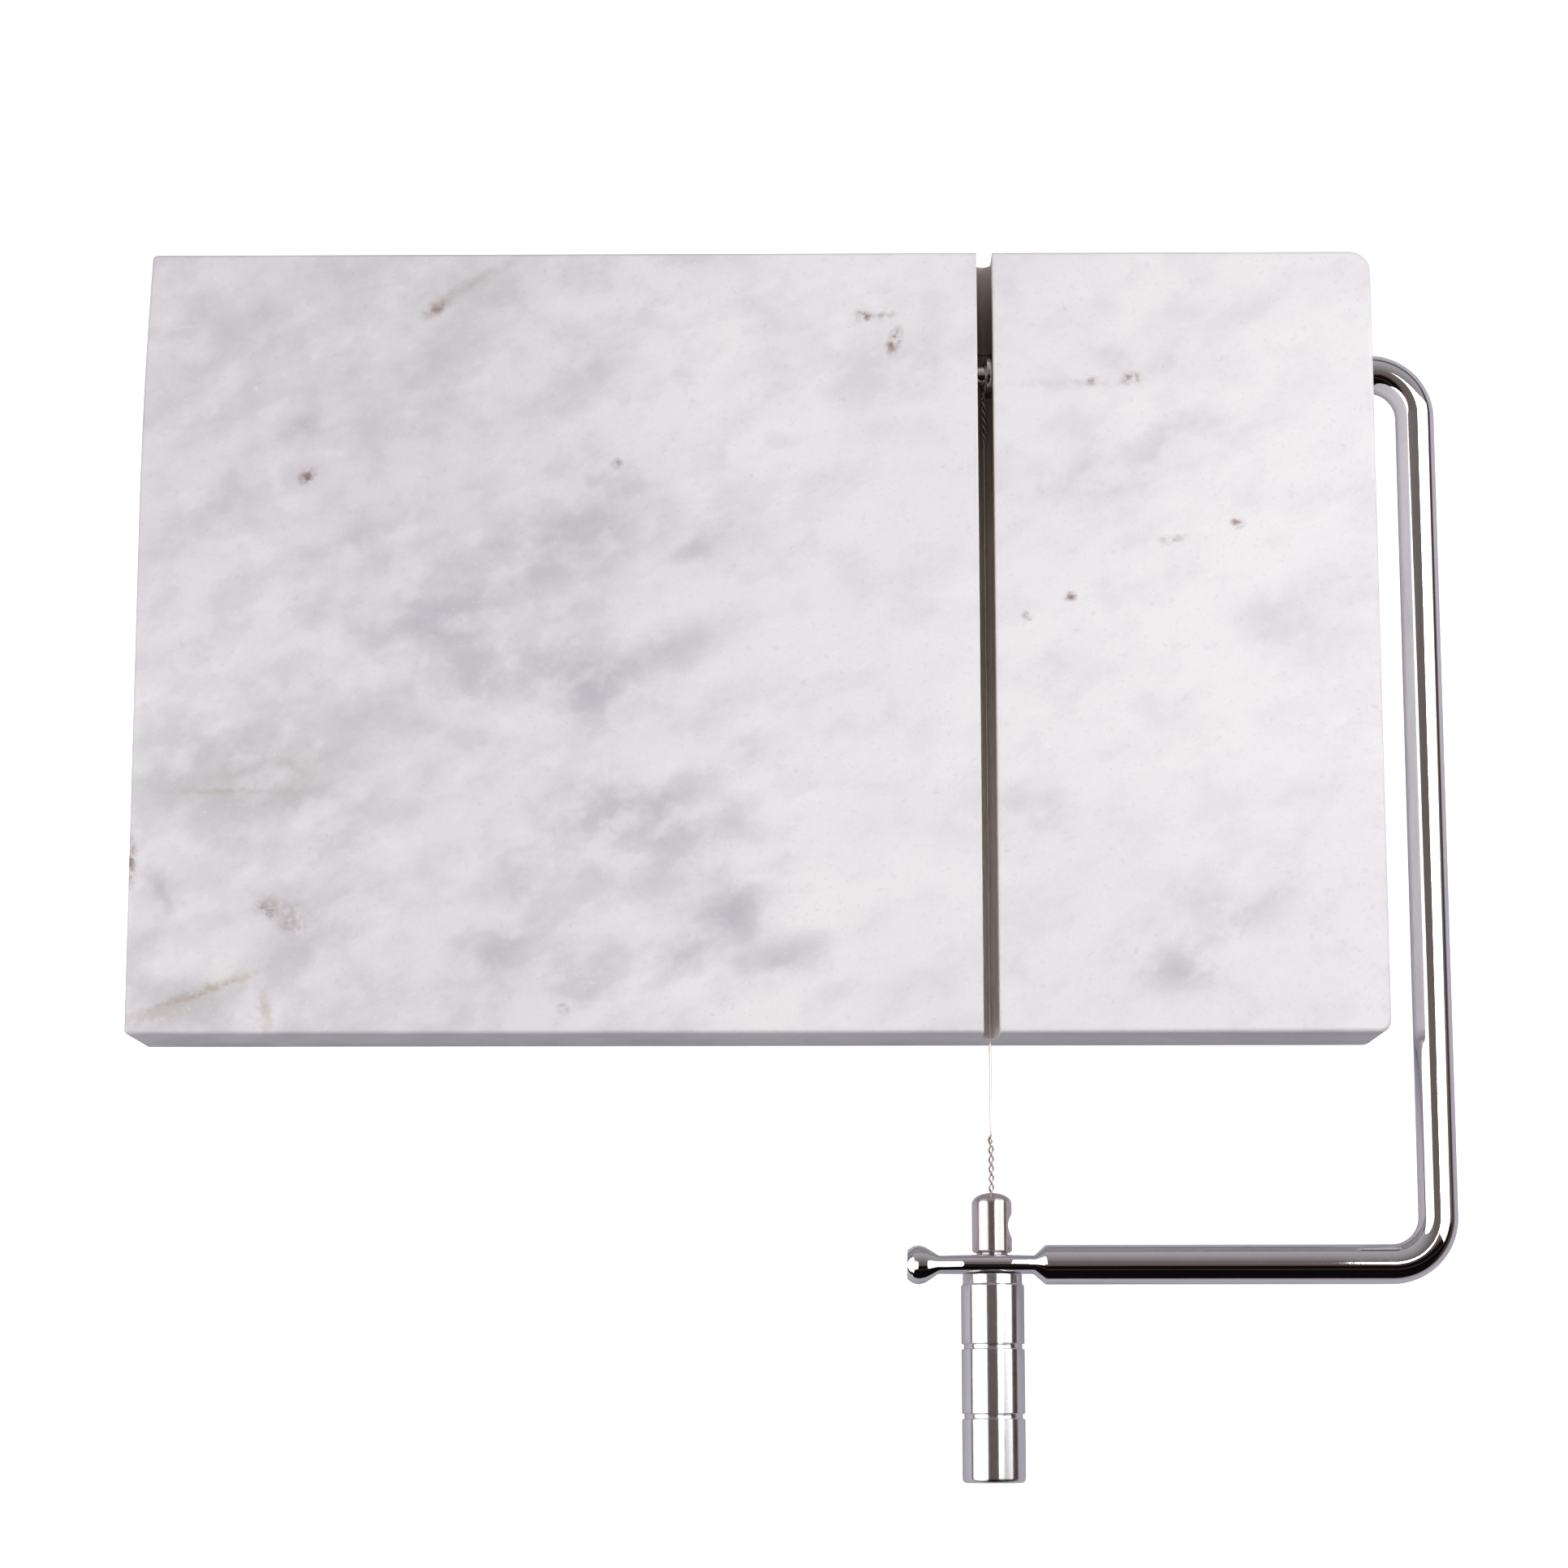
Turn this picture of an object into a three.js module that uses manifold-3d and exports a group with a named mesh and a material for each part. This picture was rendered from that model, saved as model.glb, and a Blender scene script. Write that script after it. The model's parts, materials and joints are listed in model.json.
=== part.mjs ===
// Cheese wire cutter: a marble board with a sawn groove, a chromed rod bow that
// pivots in a bore across the groove, a taut cutting wire, and a handle whose
// thread draws the tension screw and the wire tight.
//
// Millimetres, +Z up. The handle points along -Y and the bow stands to the +X side.
// The pieces are laid out from the middle of the board, and one outer group moves
// the origin to the middle of the whole object, on the surface it stands on.

import * as THREE from 'three';
import { mergeVertices } from 'three/addons/utils/BufferGeometryUtils.js';
import Module from 'manifold-3d';

const wasm = await Module();
wasm.setup();

// ---------------------------------------------------------------- driving dimensions

// Marble board
const BOARD_WIDTH = 203;
const BOARD_DEPTH = 130;
const BOARD_THICKNESS = 20;
const BOARD_EASE = 0.8; // rounding along the top and bottom edges
const SHARP_CORNER = 0.8; // radius of the two left corners, seen from above
const REAR_RIGHT_CORNER = 3.4;
const FRONT_RIGHT_CORNER = 2;
const LEFT_SIDE_SET_BACK = 1.1; // how far the left side eases in at the rear corner
const LEFT_SIDE_EASE_LENGTH = 46;

// Rubber feet
const FOOT_RADIUS = 5;
const FOOT_HEIGHT = 2.2;
const FOOT_INSET = 14; // centre of a foot from the board's sides
const FOOT_CHAMFER = 0.5;

// Groove for the wire, and the bore that the bow turns in
const GROOVE_X = 37.6; // from the middle of the board
const GROOVE_WIDTH = 2.6;
const GROOVE_DEPTH = 8.3;
const GROOVE_EASE = 0.5;
const PIVOT_INSET = 19; // bore centre from the rear edge
const PIVOT_DEPTH = 7.7; // bore centre below the board's top
const BORE_RADIUS = 3.5;
const BORE_PAST_GROOVE = 13.6; // how far the bore runs on to the left of the groove

// Bow: one bent rod
const ROD_RADIUS = 3.175;
const ROD_END_CLEARANCE = 0.6;
const ROD_END_CHAMFER = 0.4;
const BEND_RADIUS = 7.6;
const ARM_OUTSIDE_BOARD = 7.75; // side arm's centre line from the board's right face
const BAR_BEFORE_BOARD = 36.45; // front bar's centre line from the board's front edge
const NECK_RADIUS = 1.6;
const NECK_WIDTH = 1.3;
const NECK_FLARE = 0.3;

// Flattened eye of the bow, measured along X from the tension screw's axis
const EYE_HALF_THICKNESS = 1.5;
const EYE_END_HALF_THICKNESS = 1.42;
const EYE_RADIUS = 5;
const EYE_HOLE_RADIUS = 2.7;
const SHOULDER_FULL = 8.5; // the rod is round again from here to the right
const SHOULDER_FLAT = 6.7;
const EYE_WIDE_RIGHT = 4.2;
const EYE_WIDE_LEFT = -5.4;
const KNOB_FLAT = -8.6;
const KNOB_FLARE = -10.6;
const KNOB_CREST = -11.8;
const KNOB_END = -13.6;
const KNOB_FLARE_HALF_THICKNESS = 2.8;
const KNOB_RADIUS = 3.12;
const KNOB_END_RADIUS = 2.5;

// Tension screw
const HEAD_RADIUS = 3.22;
const HEAD_LENGTH = 9.6;
const DOME_HEIGHT = 1.75;
const HEAD_CHAMFER = 0.3;
const HEAD_GAP = 0.4; // from the head's underside to the eye
const SHANK_RADIUS = 2.5;
const SHANK_LENGTH = 24;
const SHANK_CHAMFER = 0.5;
const WINDOW_RADIUS = 2; // cross hole that lets the wire's loop in
const WINDOW_FROM_DOME = 5.35;
const WINDOW_PAST_AXIS = 1.9;
const WIRE_HOLE_RADIUS = 0.7;

// Anchor barrel in the cross hole
const BARREL_RADIUS = 1.3;
const BARREL_LENGTH = 3.2;
const BARREL_WAIST_RADIUS = 0.7;
const BARREL_WAIST_WIDTH = 1;
const BARREL_CLEARANCE = 0.1;

// Handle
const HANDLE_RADIUS = 5.05;
const HANDLE_LENGTH = 31.4;
const COLLAR_RADIUS = 4.75;
const COLLAR_LENGTH = 1.3;
const COLLAR_GAP = 0.3; // from the collar to the eye
const HANDLE_SHOULDER = 0.25;
const HANDLE_END_ROUND = 0.5;
const RING_STATIONS = [9.5, 20.5]; // near sides of the two turned rings, from the shoulder
const RING_WIDTH = 0.9;
const RING_DEPTH = 0.38;
const HANDLE_BORE_RADIUS = 2.7;
const HANDLE_BORE_DEPTH = 27;

// Cutting wire
const WIRE_RADIUS = 0.2;
const TWIST_RADIUS = 0.38;
const WIRE_CLEARANCE = 0.1; // between the wire's loops and what they go round
const REAR_APEX = 3.7; // from the pivot's axis to where the loop's strands meet
const REAR_TWIST = 8;
const FRONT_APEX = 1.66; // from the anchor barrel's axis to where the strands meet
const FRONT_TWIST_OUTSIDE = 9.2; // twisted stretch that shows ahead of the dome

// ---------------------------------------------------------------- derived positions

const SEAT_GAP = 0.3; // between a foot and the board
const BOARD_BOTTOM = FOOT_HEIGHT + SEAT_GAP;
const BOARD_TOP = BOARD_BOTTOM + BOARD_THICKNESS;
const HALF_WIDTH = BOARD_WIDTH / 2;
const HALF_DEPTH = BOARD_DEPTH / 2;
const PIVOT_Y = HALF_DEPTH - PIVOT_INSET;
const BOW_Z = BOARD_TOP - PIVOT_DEPTH;
const BORE_END_X = GROOVE_X - BORE_PAST_GROOVE;
const ROD_END_X = BORE_END_X + ROD_END_CLEARANCE;
const ARM_X = HALF_WIDTH + ARM_OUTSIDE_BOARD;
const BAR_Y = -HALF_DEPTH - BAR_BEFORE_BOARD;
const HEAD_BOTTOM_Y = BAR_Y + EYE_HALF_THICKNESS + HEAD_GAP;
const DOME_TOP_Y = HEAD_BOTTOM_Y + HEAD_LENGTH;
const WINDOW_Y = DOME_TOP_Y - WINDOW_FROM_DOME;
const BARREL_Y = WINDOW_Y + WINDOW_RADIUS - BARREL_RADIUS - BARREL_CLEARANCE;
const COLLAR_Y = BAR_Y - EYE_HALF_THICKNESS - COLLAR_GAP;
const HANDLE_END_Y = COLLAR_Y - COLLAR_LENGTH - HANDLE_LENGTH;

const ROUND_SIDES = 32; // sides of the rod, head and handle
const SMALL_SIDES = 16;
const WIRE_SIDES = 8;
const BEND_STEPS = 9;

// ---------------------------------------------------------------- finishes

const marble = new THREE.MeshStandardMaterial({ color: 0xe1dee4, roughness: 0.45, metalness: 0 });
const chrome = new THREE.MeshStandardMaterial({ color: 0xd2d0d4, roughness: 0.06, metalness: 1 });
const satinSteel = new THREE.MeshStandardMaterial({ color: 0xc4bcb6, roughness: 0.22, metalness: 1 });
const wireSteel = new THREE.MeshStandardMaterial({ color: 0xbab4b0, roughness: 0.25, metalness: 1 });
const rubber = new THREE.MeshStandardMaterial({ color: 0xd8d8d6, roughness: 0.7, metalness: 0 });

// ---------------------------------------------------------------- helpers

// A closed geometry as a solid that can be joined and cut.
function solidOf(geometry) {
  const bare = geometry.clone();
  bare.deleteAttribute('normal');
  bare.deleteAttribute('uv');
  const merged = mergeVertices(bare, 1e-4);
  return new wasm.Manifold(new wasm.Mesh({
    numProp: 3,
    vertProperties: new Float32Array(merged.attributes.position.array),
    triVerts: new Uint32Array(merged.index.array),
  }));
}

// A joined or cut solid as a geometry again.
function geometryOf(solid) {
  const mesh = solid.getMesh();
  const geometry = new THREE.BufferGeometry();
  geometry.setAttribute('position', new THREE.BufferAttribute(mesh.vertProperties, 3));
  geometry.setIndex(new THREE.BufferAttribute(mesh.triVerts, 1));
  geometry.computeVertexNormals();
  return geometry;
}

function named(name, geometry, material) {
  const mesh = new THREE.Mesh(geometry, material);
  mesh.name = name;
  return mesh;
}

// A body turned about the Y axis. The profile's x is the radius.
function turnedAboutY(profile, sides) {
  return new THREE.LatheGeometry(profile, sides);
}

// A body turned about a line along X. The profile's y becomes the place along X.
function turnedAboutX(profile, sides) {
  return new THREE.LatheGeometry(profile, sides).rotateZ(-Math.PI / 2);
}

function points(...pairs) {
  return pairs.map(([x, y]) => new THREE.Vector2(x, y));
}

// A plain cylinder from one place to another along X or Y, for cutting holes.
function holeAlongX(radius, fromX, toX, y, z, sides) {
  return new THREE.CylinderGeometry(radius, radius, toX - fromX, sides)
    .rotateZ(Math.PI / 2)
    .translate((fromX + toX) / 2, y, z);
}

function holeAlongY(radius, fromY, toY, x, z, sides) {
  return new THREE.CylinderGeometry(radius, radius, toY - fromY, sides)
    .translate(x, (fromY + toY) / 2, z);
}

// A route of straight stretches and arcs that is swept one section per station,
// so that a straight stretch takes one step however long it is.
class StationPath extends THREE.Curve {
  constructor(stations) {
    super();
    this.stations = stations;
  }

  at(t, key) {
    const place = t * (this.stations.length - 1);
    const first = Math.min(Math.floor(place), this.stations.length - 2);
    return this.stations[first][key].clone().lerp(this.stations[first + 1][key], place - first);
  }

  getPoint(t) {
    return this.at(t, 'point');
  }

  getPointAt(u) {
    return this.at(u, 'point');
  }

  getTangent(t) {
    return this.at(t, 'tangent').normalize();
  }

  getTangentAt(u) {
    return this.getTangent(u);
  }
}

// Stations round an arc in the plane of two unit vectors.
function arcStations(centre, across, along, radius, fromAngle, toAngle, steps) {
  const turn = Math.sign(toAngle - fromAngle);
  return Array.from({ length: steps + 1 }, (_, i) => {
    const angle = fromAngle + ((toAngle - fromAngle) * i) / steps;
    const radial = across.clone().multiplyScalar(Math.cos(angle))
      .addScaledVector(along, Math.sin(angle));
    const tangent = across.clone().multiplyScalar(-Math.sin(angle) * turn)
      .addScaledVector(along, Math.cos(angle) * turn);
    return { point: centre.clone().addScaledVector(radial, radius), tangent };
  });
}

function sweep(radius, sides, stations) {
  const section = new THREE.Shape();
  for (let i = 0; i < sides; i += 1) {
    const angle = (i * 2 * Math.PI) / sides;
    const corner = [radius * Math.cos(angle), radius * Math.sin(angle)];
    if (i === 0) section.moveTo(...corner);
    else section.lineTo(...corner);
  }
  return new THREE.ExtrudeGeometry(section, {
    steps: stations.length - 1,
    extrudePath: new StationPath(stations),
  });
}

const X_AXIS = new THREE.Vector3(1, 0, 0);
const Y_AXIS = new THREE.Vector3(0, 1, 0);
const Z_AXIS = new THREE.Vector3(0, 0, 1);

// ---------------------------------------------------------------- marble board

// The board's outline from above, anticlockwise from the front left corner.
function boardOutline() {
  const outline = new THREE.Shape();
  const left = -HALF_WIDTH;
  const right = HALF_WIDTH;
  const rearLeft = left + LEFT_SIDE_SET_BACK;
  const easeStart = HALF_DEPTH - LEFT_SIDE_EASE_LENGTH;
  outline.moveTo(left + SHARP_CORNER, -HALF_DEPTH);
  outline.lineTo(right - FRONT_RIGHT_CORNER, -HALF_DEPTH);
  outline.absarc(right - FRONT_RIGHT_CORNER, -HALF_DEPTH + FRONT_RIGHT_CORNER,
    FRONT_RIGHT_CORNER, -Math.PI / 2, 0);
  outline.lineTo(right, HALF_DEPTH - REAR_RIGHT_CORNER);
  outline.absarc(right - REAR_RIGHT_CORNER, HALF_DEPTH - REAR_RIGHT_CORNER,
    REAR_RIGHT_CORNER, 0, Math.PI / 2);
  outline.lineTo(rearLeft + SHARP_CORNER, HALF_DEPTH);
  outline.absarc(rearLeft + SHARP_CORNER, HALF_DEPTH - SHARP_CORNER,
    SHARP_CORNER, Math.PI / 2, Math.PI);
  outline.quadraticCurveTo(left, (HALF_DEPTH + easeStart) / 2, left, easeStart);
  outline.lineTo(left, -HALF_DEPTH + SHARP_CORNER);
  outline.absarc(left + SHARP_CORNER, -HALF_DEPTH + SHARP_CORNER,
    SHARP_CORNER, Math.PI, Math.PI * 1.5);
  return outline;
}

// The groove's section, upright: x across the groove, y down from the board's top.
function grooveSection() {
  const half = GROOVE_WIDTH / 2;
  const above = 1;
  const section = new THREE.Shape();
  section.moveTo(-half - GROOVE_EASE, above);
  section.lineTo(-half - GROOVE_EASE, 0);
  section.absarc(-half - GROOVE_EASE, -GROOVE_EASE, GROOVE_EASE, Math.PI / 2, 0, true);
  section.lineTo(-half, -GROOVE_DEPTH + half);
  section.absarc(0, -GROOVE_DEPTH + half, half, Math.PI, Math.PI * 2);
  section.lineTo(half, -GROOVE_EASE);
  section.absarc(half + GROOVE_EASE, -GROOVE_EASE, GROOVE_EASE, Math.PI, Math.PI / 2, true);
  section.lineTo(half + GROOVE_EASE, above);
  return section;
}

function marbleBoard() {
  const slab = new THREE.ExtrudeGeometry(boardOutline(), {
    depth: BOARD_THICKNESS - 2 * BOARD_EASE,
    bevelThickness: BOARD_EASE,
    bevelSize: BOARD_EASE * 0.99,
    bevelOffset: -BOARD_EASE * 0.99,
    bevelSegments: 2,
    curveSegments: 4,
  }).translate(0, 0, BOARD_BOTTOM + BOARD_EASE);
  const past = 1;
  const groove = new THREE.ExtrudeGeometry(grooveSection(), {
    depth: BOARD_DEPTH + 2 * past,
    bevelEnabled: false,
    curveSegments: 5,
  })
    .rotateX(Math.PI / 2)
    .translate(GROOVE_X, HALF_DEPTH + past, BOARD_TOP);
  const bore = holeAlongX(BORE_RADIUS, BORE_END_X, HALF_WIDTH + past, PIVOT_Y, BOW_Z, ROUND_SIDES);
  const stone = solidOf(slab).subtract(solidOf(groove)).subtract(solidOf(bore));
  return named('marble_board', geometryOf(stone), marble);
}

function feet() {
  const profile = points(
    [0, 0],
    [FOOT_RADIUS - FOOT_CHAMFER, 0],
    [FOOT_RADIUS, FOOT_CHAMFER],
    [FOOT_RADIUS, FOOT_HEIGHT],
    [0, FOOT_HEIGHT],
  );
  const places = [
    ['foot_front_left', -1, -1],
    ['foot_front_right', 1, -1],
    ['foot_rear_left', -1, 1],
    ['foot_rear_right', 1, 1],
  ];
  return places.map(([name, sideX, sideY]) => {
    const foot = named(name, turnedAboutY(profile, 28).rotateX(Math.PI / 2), rubber);
    foot.position.set(sideX * (HALF_WIDTH - FOOT_INSET), sideY * (HALF_DEPTH - FOOT_INSET), 0);
    return foot;
  });
}

// ---------------------------------------------------------------- bow

// The rod's centre line from its end in the bore, round both bends, to the eye's shoulder.
function rodStations() {
  const minusX = X_AXIS.clone().negate();
  const minusY = Y_AXIS.clone().negate();
  const bendX = ARM_X - BEND_RADIUS;
  const rearCentre = new THREE.Vector3(bendX, PIVOT_Y - BEND_RADIUS, BOW_Z);
  const frontCentre = new THREE.Vector3(bendX, BAR_Y + BEND_RADIUS, BOW_Z);
  return [
    { point: new THREE.Vector3(ROD_END_X, PIVOT_Y, BOW_Z), tangent: X_AXIS },
    ...arcStations(rearCentre, X_AXIS, Y_AXIS, BEND_RADIUS, Math.PI / 2, 0, BEND_STEPS),
    ...arcStations(frontCentre, X_AXIS, minusY, BEND_RADIUS, 0, Math.PI / 2, BEND_STEPS),
    { point: new THREE.Vector3(GROOVE_X + SHOULDER_FULL, BAR_Y, BOW_Z), tangent: minusX },
  ];
}

// The eye is what is left when a bar that bulges at the eye is pressed flat:
// a turned body that swells at the eye, cut by the flattened outline from above.
function eyeAndKnob() {
  const insideRod = 1;
  const rodSkin = ROD_RADIUS - 0.02;
  const turned = turnedAboutX(points(
    [0, KNOB_END],
    [KNOB_END_RADIUS, KNOB_END],
    [KNOB_RADIUS, KNOB_CREST],
    [KNOB_RADIUS, KNOB_FLARE],
    [EYE_RADIUS * 0.82, (KNOB_FLAT + EYE_WIDE_LEFT) / 2 - 0.4],
    [EYE_RADIUS, EYE_WIDE_LEFT],
    [EYE_RADIUS, EYE_WIDE_RIGHT],
    [EYE_RADIUS * 0.85, (SHOULDER_FLAT + EYE_WIDE_RIGHT) / 2],
    [rodSkin, SHOULDER_FULL],
    [rodSkin, SHOULDER_FULL + insideRod],
    [0, SHOULDER_FULL + insideRod],
  ), ROUND_SIDES);
  const wide = ROD_RADIUS + 0.2;
  const halfOutline = [
    [SHOULDER_FULL + insideRod + 1, wide],
    [SHOULDER_FULL, wide],
    [SHOULDER_FLAT, EYE_END_HALF_THICKNESS],
    [0, EYE_HALF_THICKNESS],
    [KNOB_FLAT, EYE_END_HALF_THICKNESS],
    [KNOB_FLARE, KNOB_FLARE_HALF_THICKNESS],
    [KNOB_CREST, wide],
    [KNOB_END - 1, wide],
  ];
  const otherHalf = halfOutline.map(([x, y]) => [x, -y]).reverse();
  const outline = new THREE.Shape(points(...halfOutline, ...otherHalf));
  const tall = 2 * EYE_RADIUS + 2;
  const pressed = new THREE.ExtrudeGeometry(outline, { depth: tall, bevelEnabled: false })
    .translate(0, 0, -tall / 2);
  const eye = solidOf(turned).intersect(solidOf(pressed));
  return eye.translate([GROOVE_X, BAR_Y, BOW_Z]);
}

// What the lathe takes off to leave the thin neck that the wire's loop sits in.
function neckRing() {
  const half = NECK_WIDTH / 2;
  const outside = ROD_RADIUS + 1;
  const flare = (NECK_FLARE * (outside - NECK_RADIUS)) / (ROD_RADIUS - NECK_RADIUS);
  const profile = points(
    [NECK_RADIUS, -half],
    [outside, -half - flare],
    [outside, half + flare],
    [NECK_RADIUS, half],
    [NECK_RADIUS, -half],
  );
  return turnedAboutX(profile, ROUND_SIDES).translate(GROOVE_X, PIVOT_Y, BOW_Z);
}

// What is taken off the rod's end in the bore to leave a small chamfer.
function endChamferRing() {
  const outside = ROD_RADIUS + 1;
  const profile = points(
    [ROD_RADIUS - ROD_END_CHAMFER, -1],
    [outside, -1],
    [outside, ROD_END_CHAMFER],
    [ROD_RADIUS + 0.01, ROD_END_CHAMFER],
    [ROD_RADIUS - ROD_END_CHAMFER, 0],
    [ROD_RADIUS - ROD_END_CHAMFER, -1],
  );
  return turnedAboutX(profile, ROUND_SIDES).translate(ROD_END_X, PIVOT_Y, BOW_Z);
}

function bowArm() {
  const rod = solidOf(sweep(ROD_RADIUS, ROUND_SIDES, rodStations()));
  const hole = holeAlongY(EYE_HOLE_RADIUS, BAR_Y - 4, BAR_Y + 4, GROOVE_X, BOW_Z, ROUND_SIDES);
  const bow = rod
    .add(eyeAndKnob())
    .subtract(solidOf(hole))
    .subtract(solidOf(neckRing()))
    .subtract(solidOf(endChamferRing()));
  return named('bow_arm', geometryOf(bow), chrome);
}

// ---------------------------------------------------------------- cutting wire

// A loop in the upright plane of the groove: out from the apex, round, and back to it.
function loopStations(centreY, apexDistance, loopRadius, facing) {
  const centre = new THREE.Vector3(GROOVE_X, centreY, BOW_Z);
  const towardApex = Y_AXIS.clone().multiplyScalar(facing);
  const meet = Math.acos(loopRadius / apexDistance);
  const arc = arcStations(centre, towardApex, Z_AXIS, loopRadius, meet, 2 * Math.PI - meet, 14);
  const apex = centre.clone().addScaledVector(towardApex, apexDistance);
  return [
    { point: apex, tangent: arc[0].tangent },
    ...arc,
    { point: apex, tangent: arc[arc.length - 1].tangent },
  ];
}

function cuttingWire() {
  const rearLoopRadius = NECK_RADIUS + WIRE_CLEARANCE + WIRE_RADIUS;
  const frontLoopRadius = BARREL_WAIST_RADIUS + WIRE_CLEARANCE + WIRE_RADIUS;
  const rearApexY = PIVOT_Y - REAR_APEX;
  const frontApexY = BARREL_Y + FRONT_APEX;
  const rearTwistEnd = rearApexY - REAR_TWIST;
  const frontTwistEnd = DOME_TOP_Y + FRONT_TWIST_OUTSIDE;
  const overlap = 0.3;
  const straightAcross = (radius, fromY, toY, sides) => (
    solidOf(holeAlongY(radius, fromY, toY, GROOVE_X, BOW_Z, sides))
  );
  const wire = solidOf(sweep(WIRE_RADIUS, WIRE_SIDES,
    loopStations(PIVOT_Y, REAR_APEX, rearLoopRadius, -1)))
    .add(solidOf(sweep(WIRE_RADIUS, WIRE_SIDES,
      loopStations(BARREL_Y, FRONT_APEX, frontLoopRadius, 1))))
    .add(straightAcross(TWIST_RADIUS, rearTwistEnd, rearApexY + overlap, SMALL_SIDES))
    .add(straightAcross(TWIST_RADIUS, frontApexY - overlap, frontTwistEnd, SMALL_SIDES))
    .add(straightAcross(WIRE_RADIUS, frontTwistEnd - overlap, rearTwistEnd + overlap, WIRE_SIDES));
  return named('cutting_wire', geometryOf(wire), wireSteel);
}

// ---------------------------------------------------------------- tension screw

// Turned profile from the shank's end up to the dome, as distances along +Y from the
// underside of the head.
function tensionScrew() {
  const profile = new THREE.Path();
  const cylinderTop = HEAD_LENGTH - DOME_HEIGHT;
  profile.moveTo(0, -SHANK_LENGTH);
  profile.lineTo(SHANK_RADIUS - SHANK_CHAMFER, -SHANK_LENGTH);
  profile.lineTo(SHANK_RADIUS, -SHANK_LENGTH + SHANK_CHAMFER);
  profile.lineTo(SHANK_RADIUS, 0);
  profile.lineTo(HEAD_RADIUS - HEAD_CHAMFER, 0);
  profile.lineTo(HEAD_RADIUS, HEAD_CHAMFER);
  profile.lineTo(HEAD_RADIUS, cylinderTop);
  profile.absellipse(0, cylinderTop, HEAD_RADIUS, DOME_HEIGHT, 0, Math.PI / 2);
  const turned = turnedAboutY(profile.getPoints(4), ROUND_SIDES)
    .translate(GROOVE_X, HEAD_BOTTOM_Y, BOW_Z);
  const window = holeAlongX(WINDOW_RADIUS, GROOVE_X - WINDOW_PAST_AXIS,
    GROOVE_X + HEAD_RADIUS + 1, WINDOW_Y, BOW_Z, ROUND_SIDES);
  const wireHole = holeAlongY(WIRE_HOLE_RADIUS, WINDOW_Y, DOME_TOP_Y + 1,
    GROOVE_X, BOW_Z, SMALL_SIDES);
  const screw = solidOf(turned).subtract(solidOf(window)).subtract(solidOf(wireHole));
  return named('tension_screw', geometryOf(screw), satinSteel);
}

function anchorBarrel() {
  const end = BARREL_LENGTH / 2;
  const waist = BARREL_WAIST_WIDTH / 2;
  const profile = points(
    [0, -end],
    [BARREL_RADIUS, -end],
    [BARREL_RADIUS, -waist],
    [BARREL_WAIST_RADIUS, -waist],
    [BARREL_WAIST_RADIUS, waist],
    [BARREL_RADIUS, waist],
    [BARREL_RADIUS, end],
    [0, end],
  );
  const barrel = named('wire_anchor_barrel', turnedAboutX(profile, SMALL_SIDES), satinSteel);
  barrel.position.set(GROOVE_X, BARREL_Y, BOW_Z);
  return barrel;
}

// ---------------------------------------------------------------- handle

// Turned profile from the blind end towards the eye: outside first, then the bore.
function handleGrip() {
  const shoulder = HANDLE_LENGTH;
  const collarTop = shoulder + COLLAR_LENGTH;
  const profile = new THREE.Path();
  profile.moveTo(0, 0);
  profile.lineTo(HANDLE_RADIUS - HANDLE_END_ROUND, 0);
  profile.absarc(HANDLE_RADIUS - HANDLE_END_ROUND, HANDLE_END_ROUND,
    HANDLE_END_ROUND, -Math.PI / 2, 0);
  for (const station of [...RING_STATIONS].reverse()) {
    const ringTop = shoulder - station;
    const ringBottom = ringTop - RING_WIDTH;
    profile.lineTo(HANDLE_RADIUS, ringBottom);
    profile.lineTo(HANDLE_RADIUS - RING_DEPTH, ringBottom + 0.1);
    profile.lineTo(HANDLE_RADIUS - RING_DEPTH, ringTop - 0.1);
    profile.lineTo(HANDLE_RADIUS, ringTop);
  }
  profile.lineTo(HANDLE_RADIUS, shoulder - HANDLE_SHOULDER);
  profile.lineTo(COLLAR_RADIUS, shoulder);
  profile.lineTo(COLLAR_RADIUS, collarTop);
  profile.lineTo(HANDLE_BORE_RADIUS, collarTop);
  profile.lineTo(HANDLE_BORE_RADIUS, collarTop - HANDLE_BORE_DEPTH);
  profile.lineTo(0, collarTop - HANDLE_BORE_DEPTH);
  const grip = named('handle_grip', turnedAboutY(profile.getPoints(2), ROUND_SIDES), chrome);
  grip.position.set(GROOVE_X, HANDLE_END_Y, BOW_Z);
  return grip;
}

// ---------------------------------------------------------------- assembly

const board = new THREE.Group();
board.add(marbleBoard(), ...feet());

const bow = new THREE.Group();
bow.add(bowArm(), cuttingWire());

const tensioner = new THREE.Group();
tensioner.add(tensionScrew(), anchorBarrel(), handleGrip());

const leftmost = -HALF_WIDTH;
const rightmost = ARM_X + ROD_RADIUS;
const foremost = HANDLE_END_Y;
const rearmost = HALF_DEPTH;

const cutter = new THREE.Group();
cutter.add(board, bow, tensioner);
cutter.position.set(-(leftmost + rightmost) / 2, -(foremost + rearmost) / 2, 0);

const cheeseWireCutter = new THREE.Group();
cheeseWireCutter.add(cutter);

export default cheeseWireCutter;
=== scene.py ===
# Looks of a cheese wire cutter: marble board with a sawn groove, chromed bow, cutting
# wire, tension screw and turned handle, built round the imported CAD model.
#
# Metres, in the frame's own axes: +Z up, the handle points along -Y, the bow stands to +X.

import json
import math

import bmesh
import bpy
import numpy as np
from mathutils import Matrix, Vector


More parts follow.
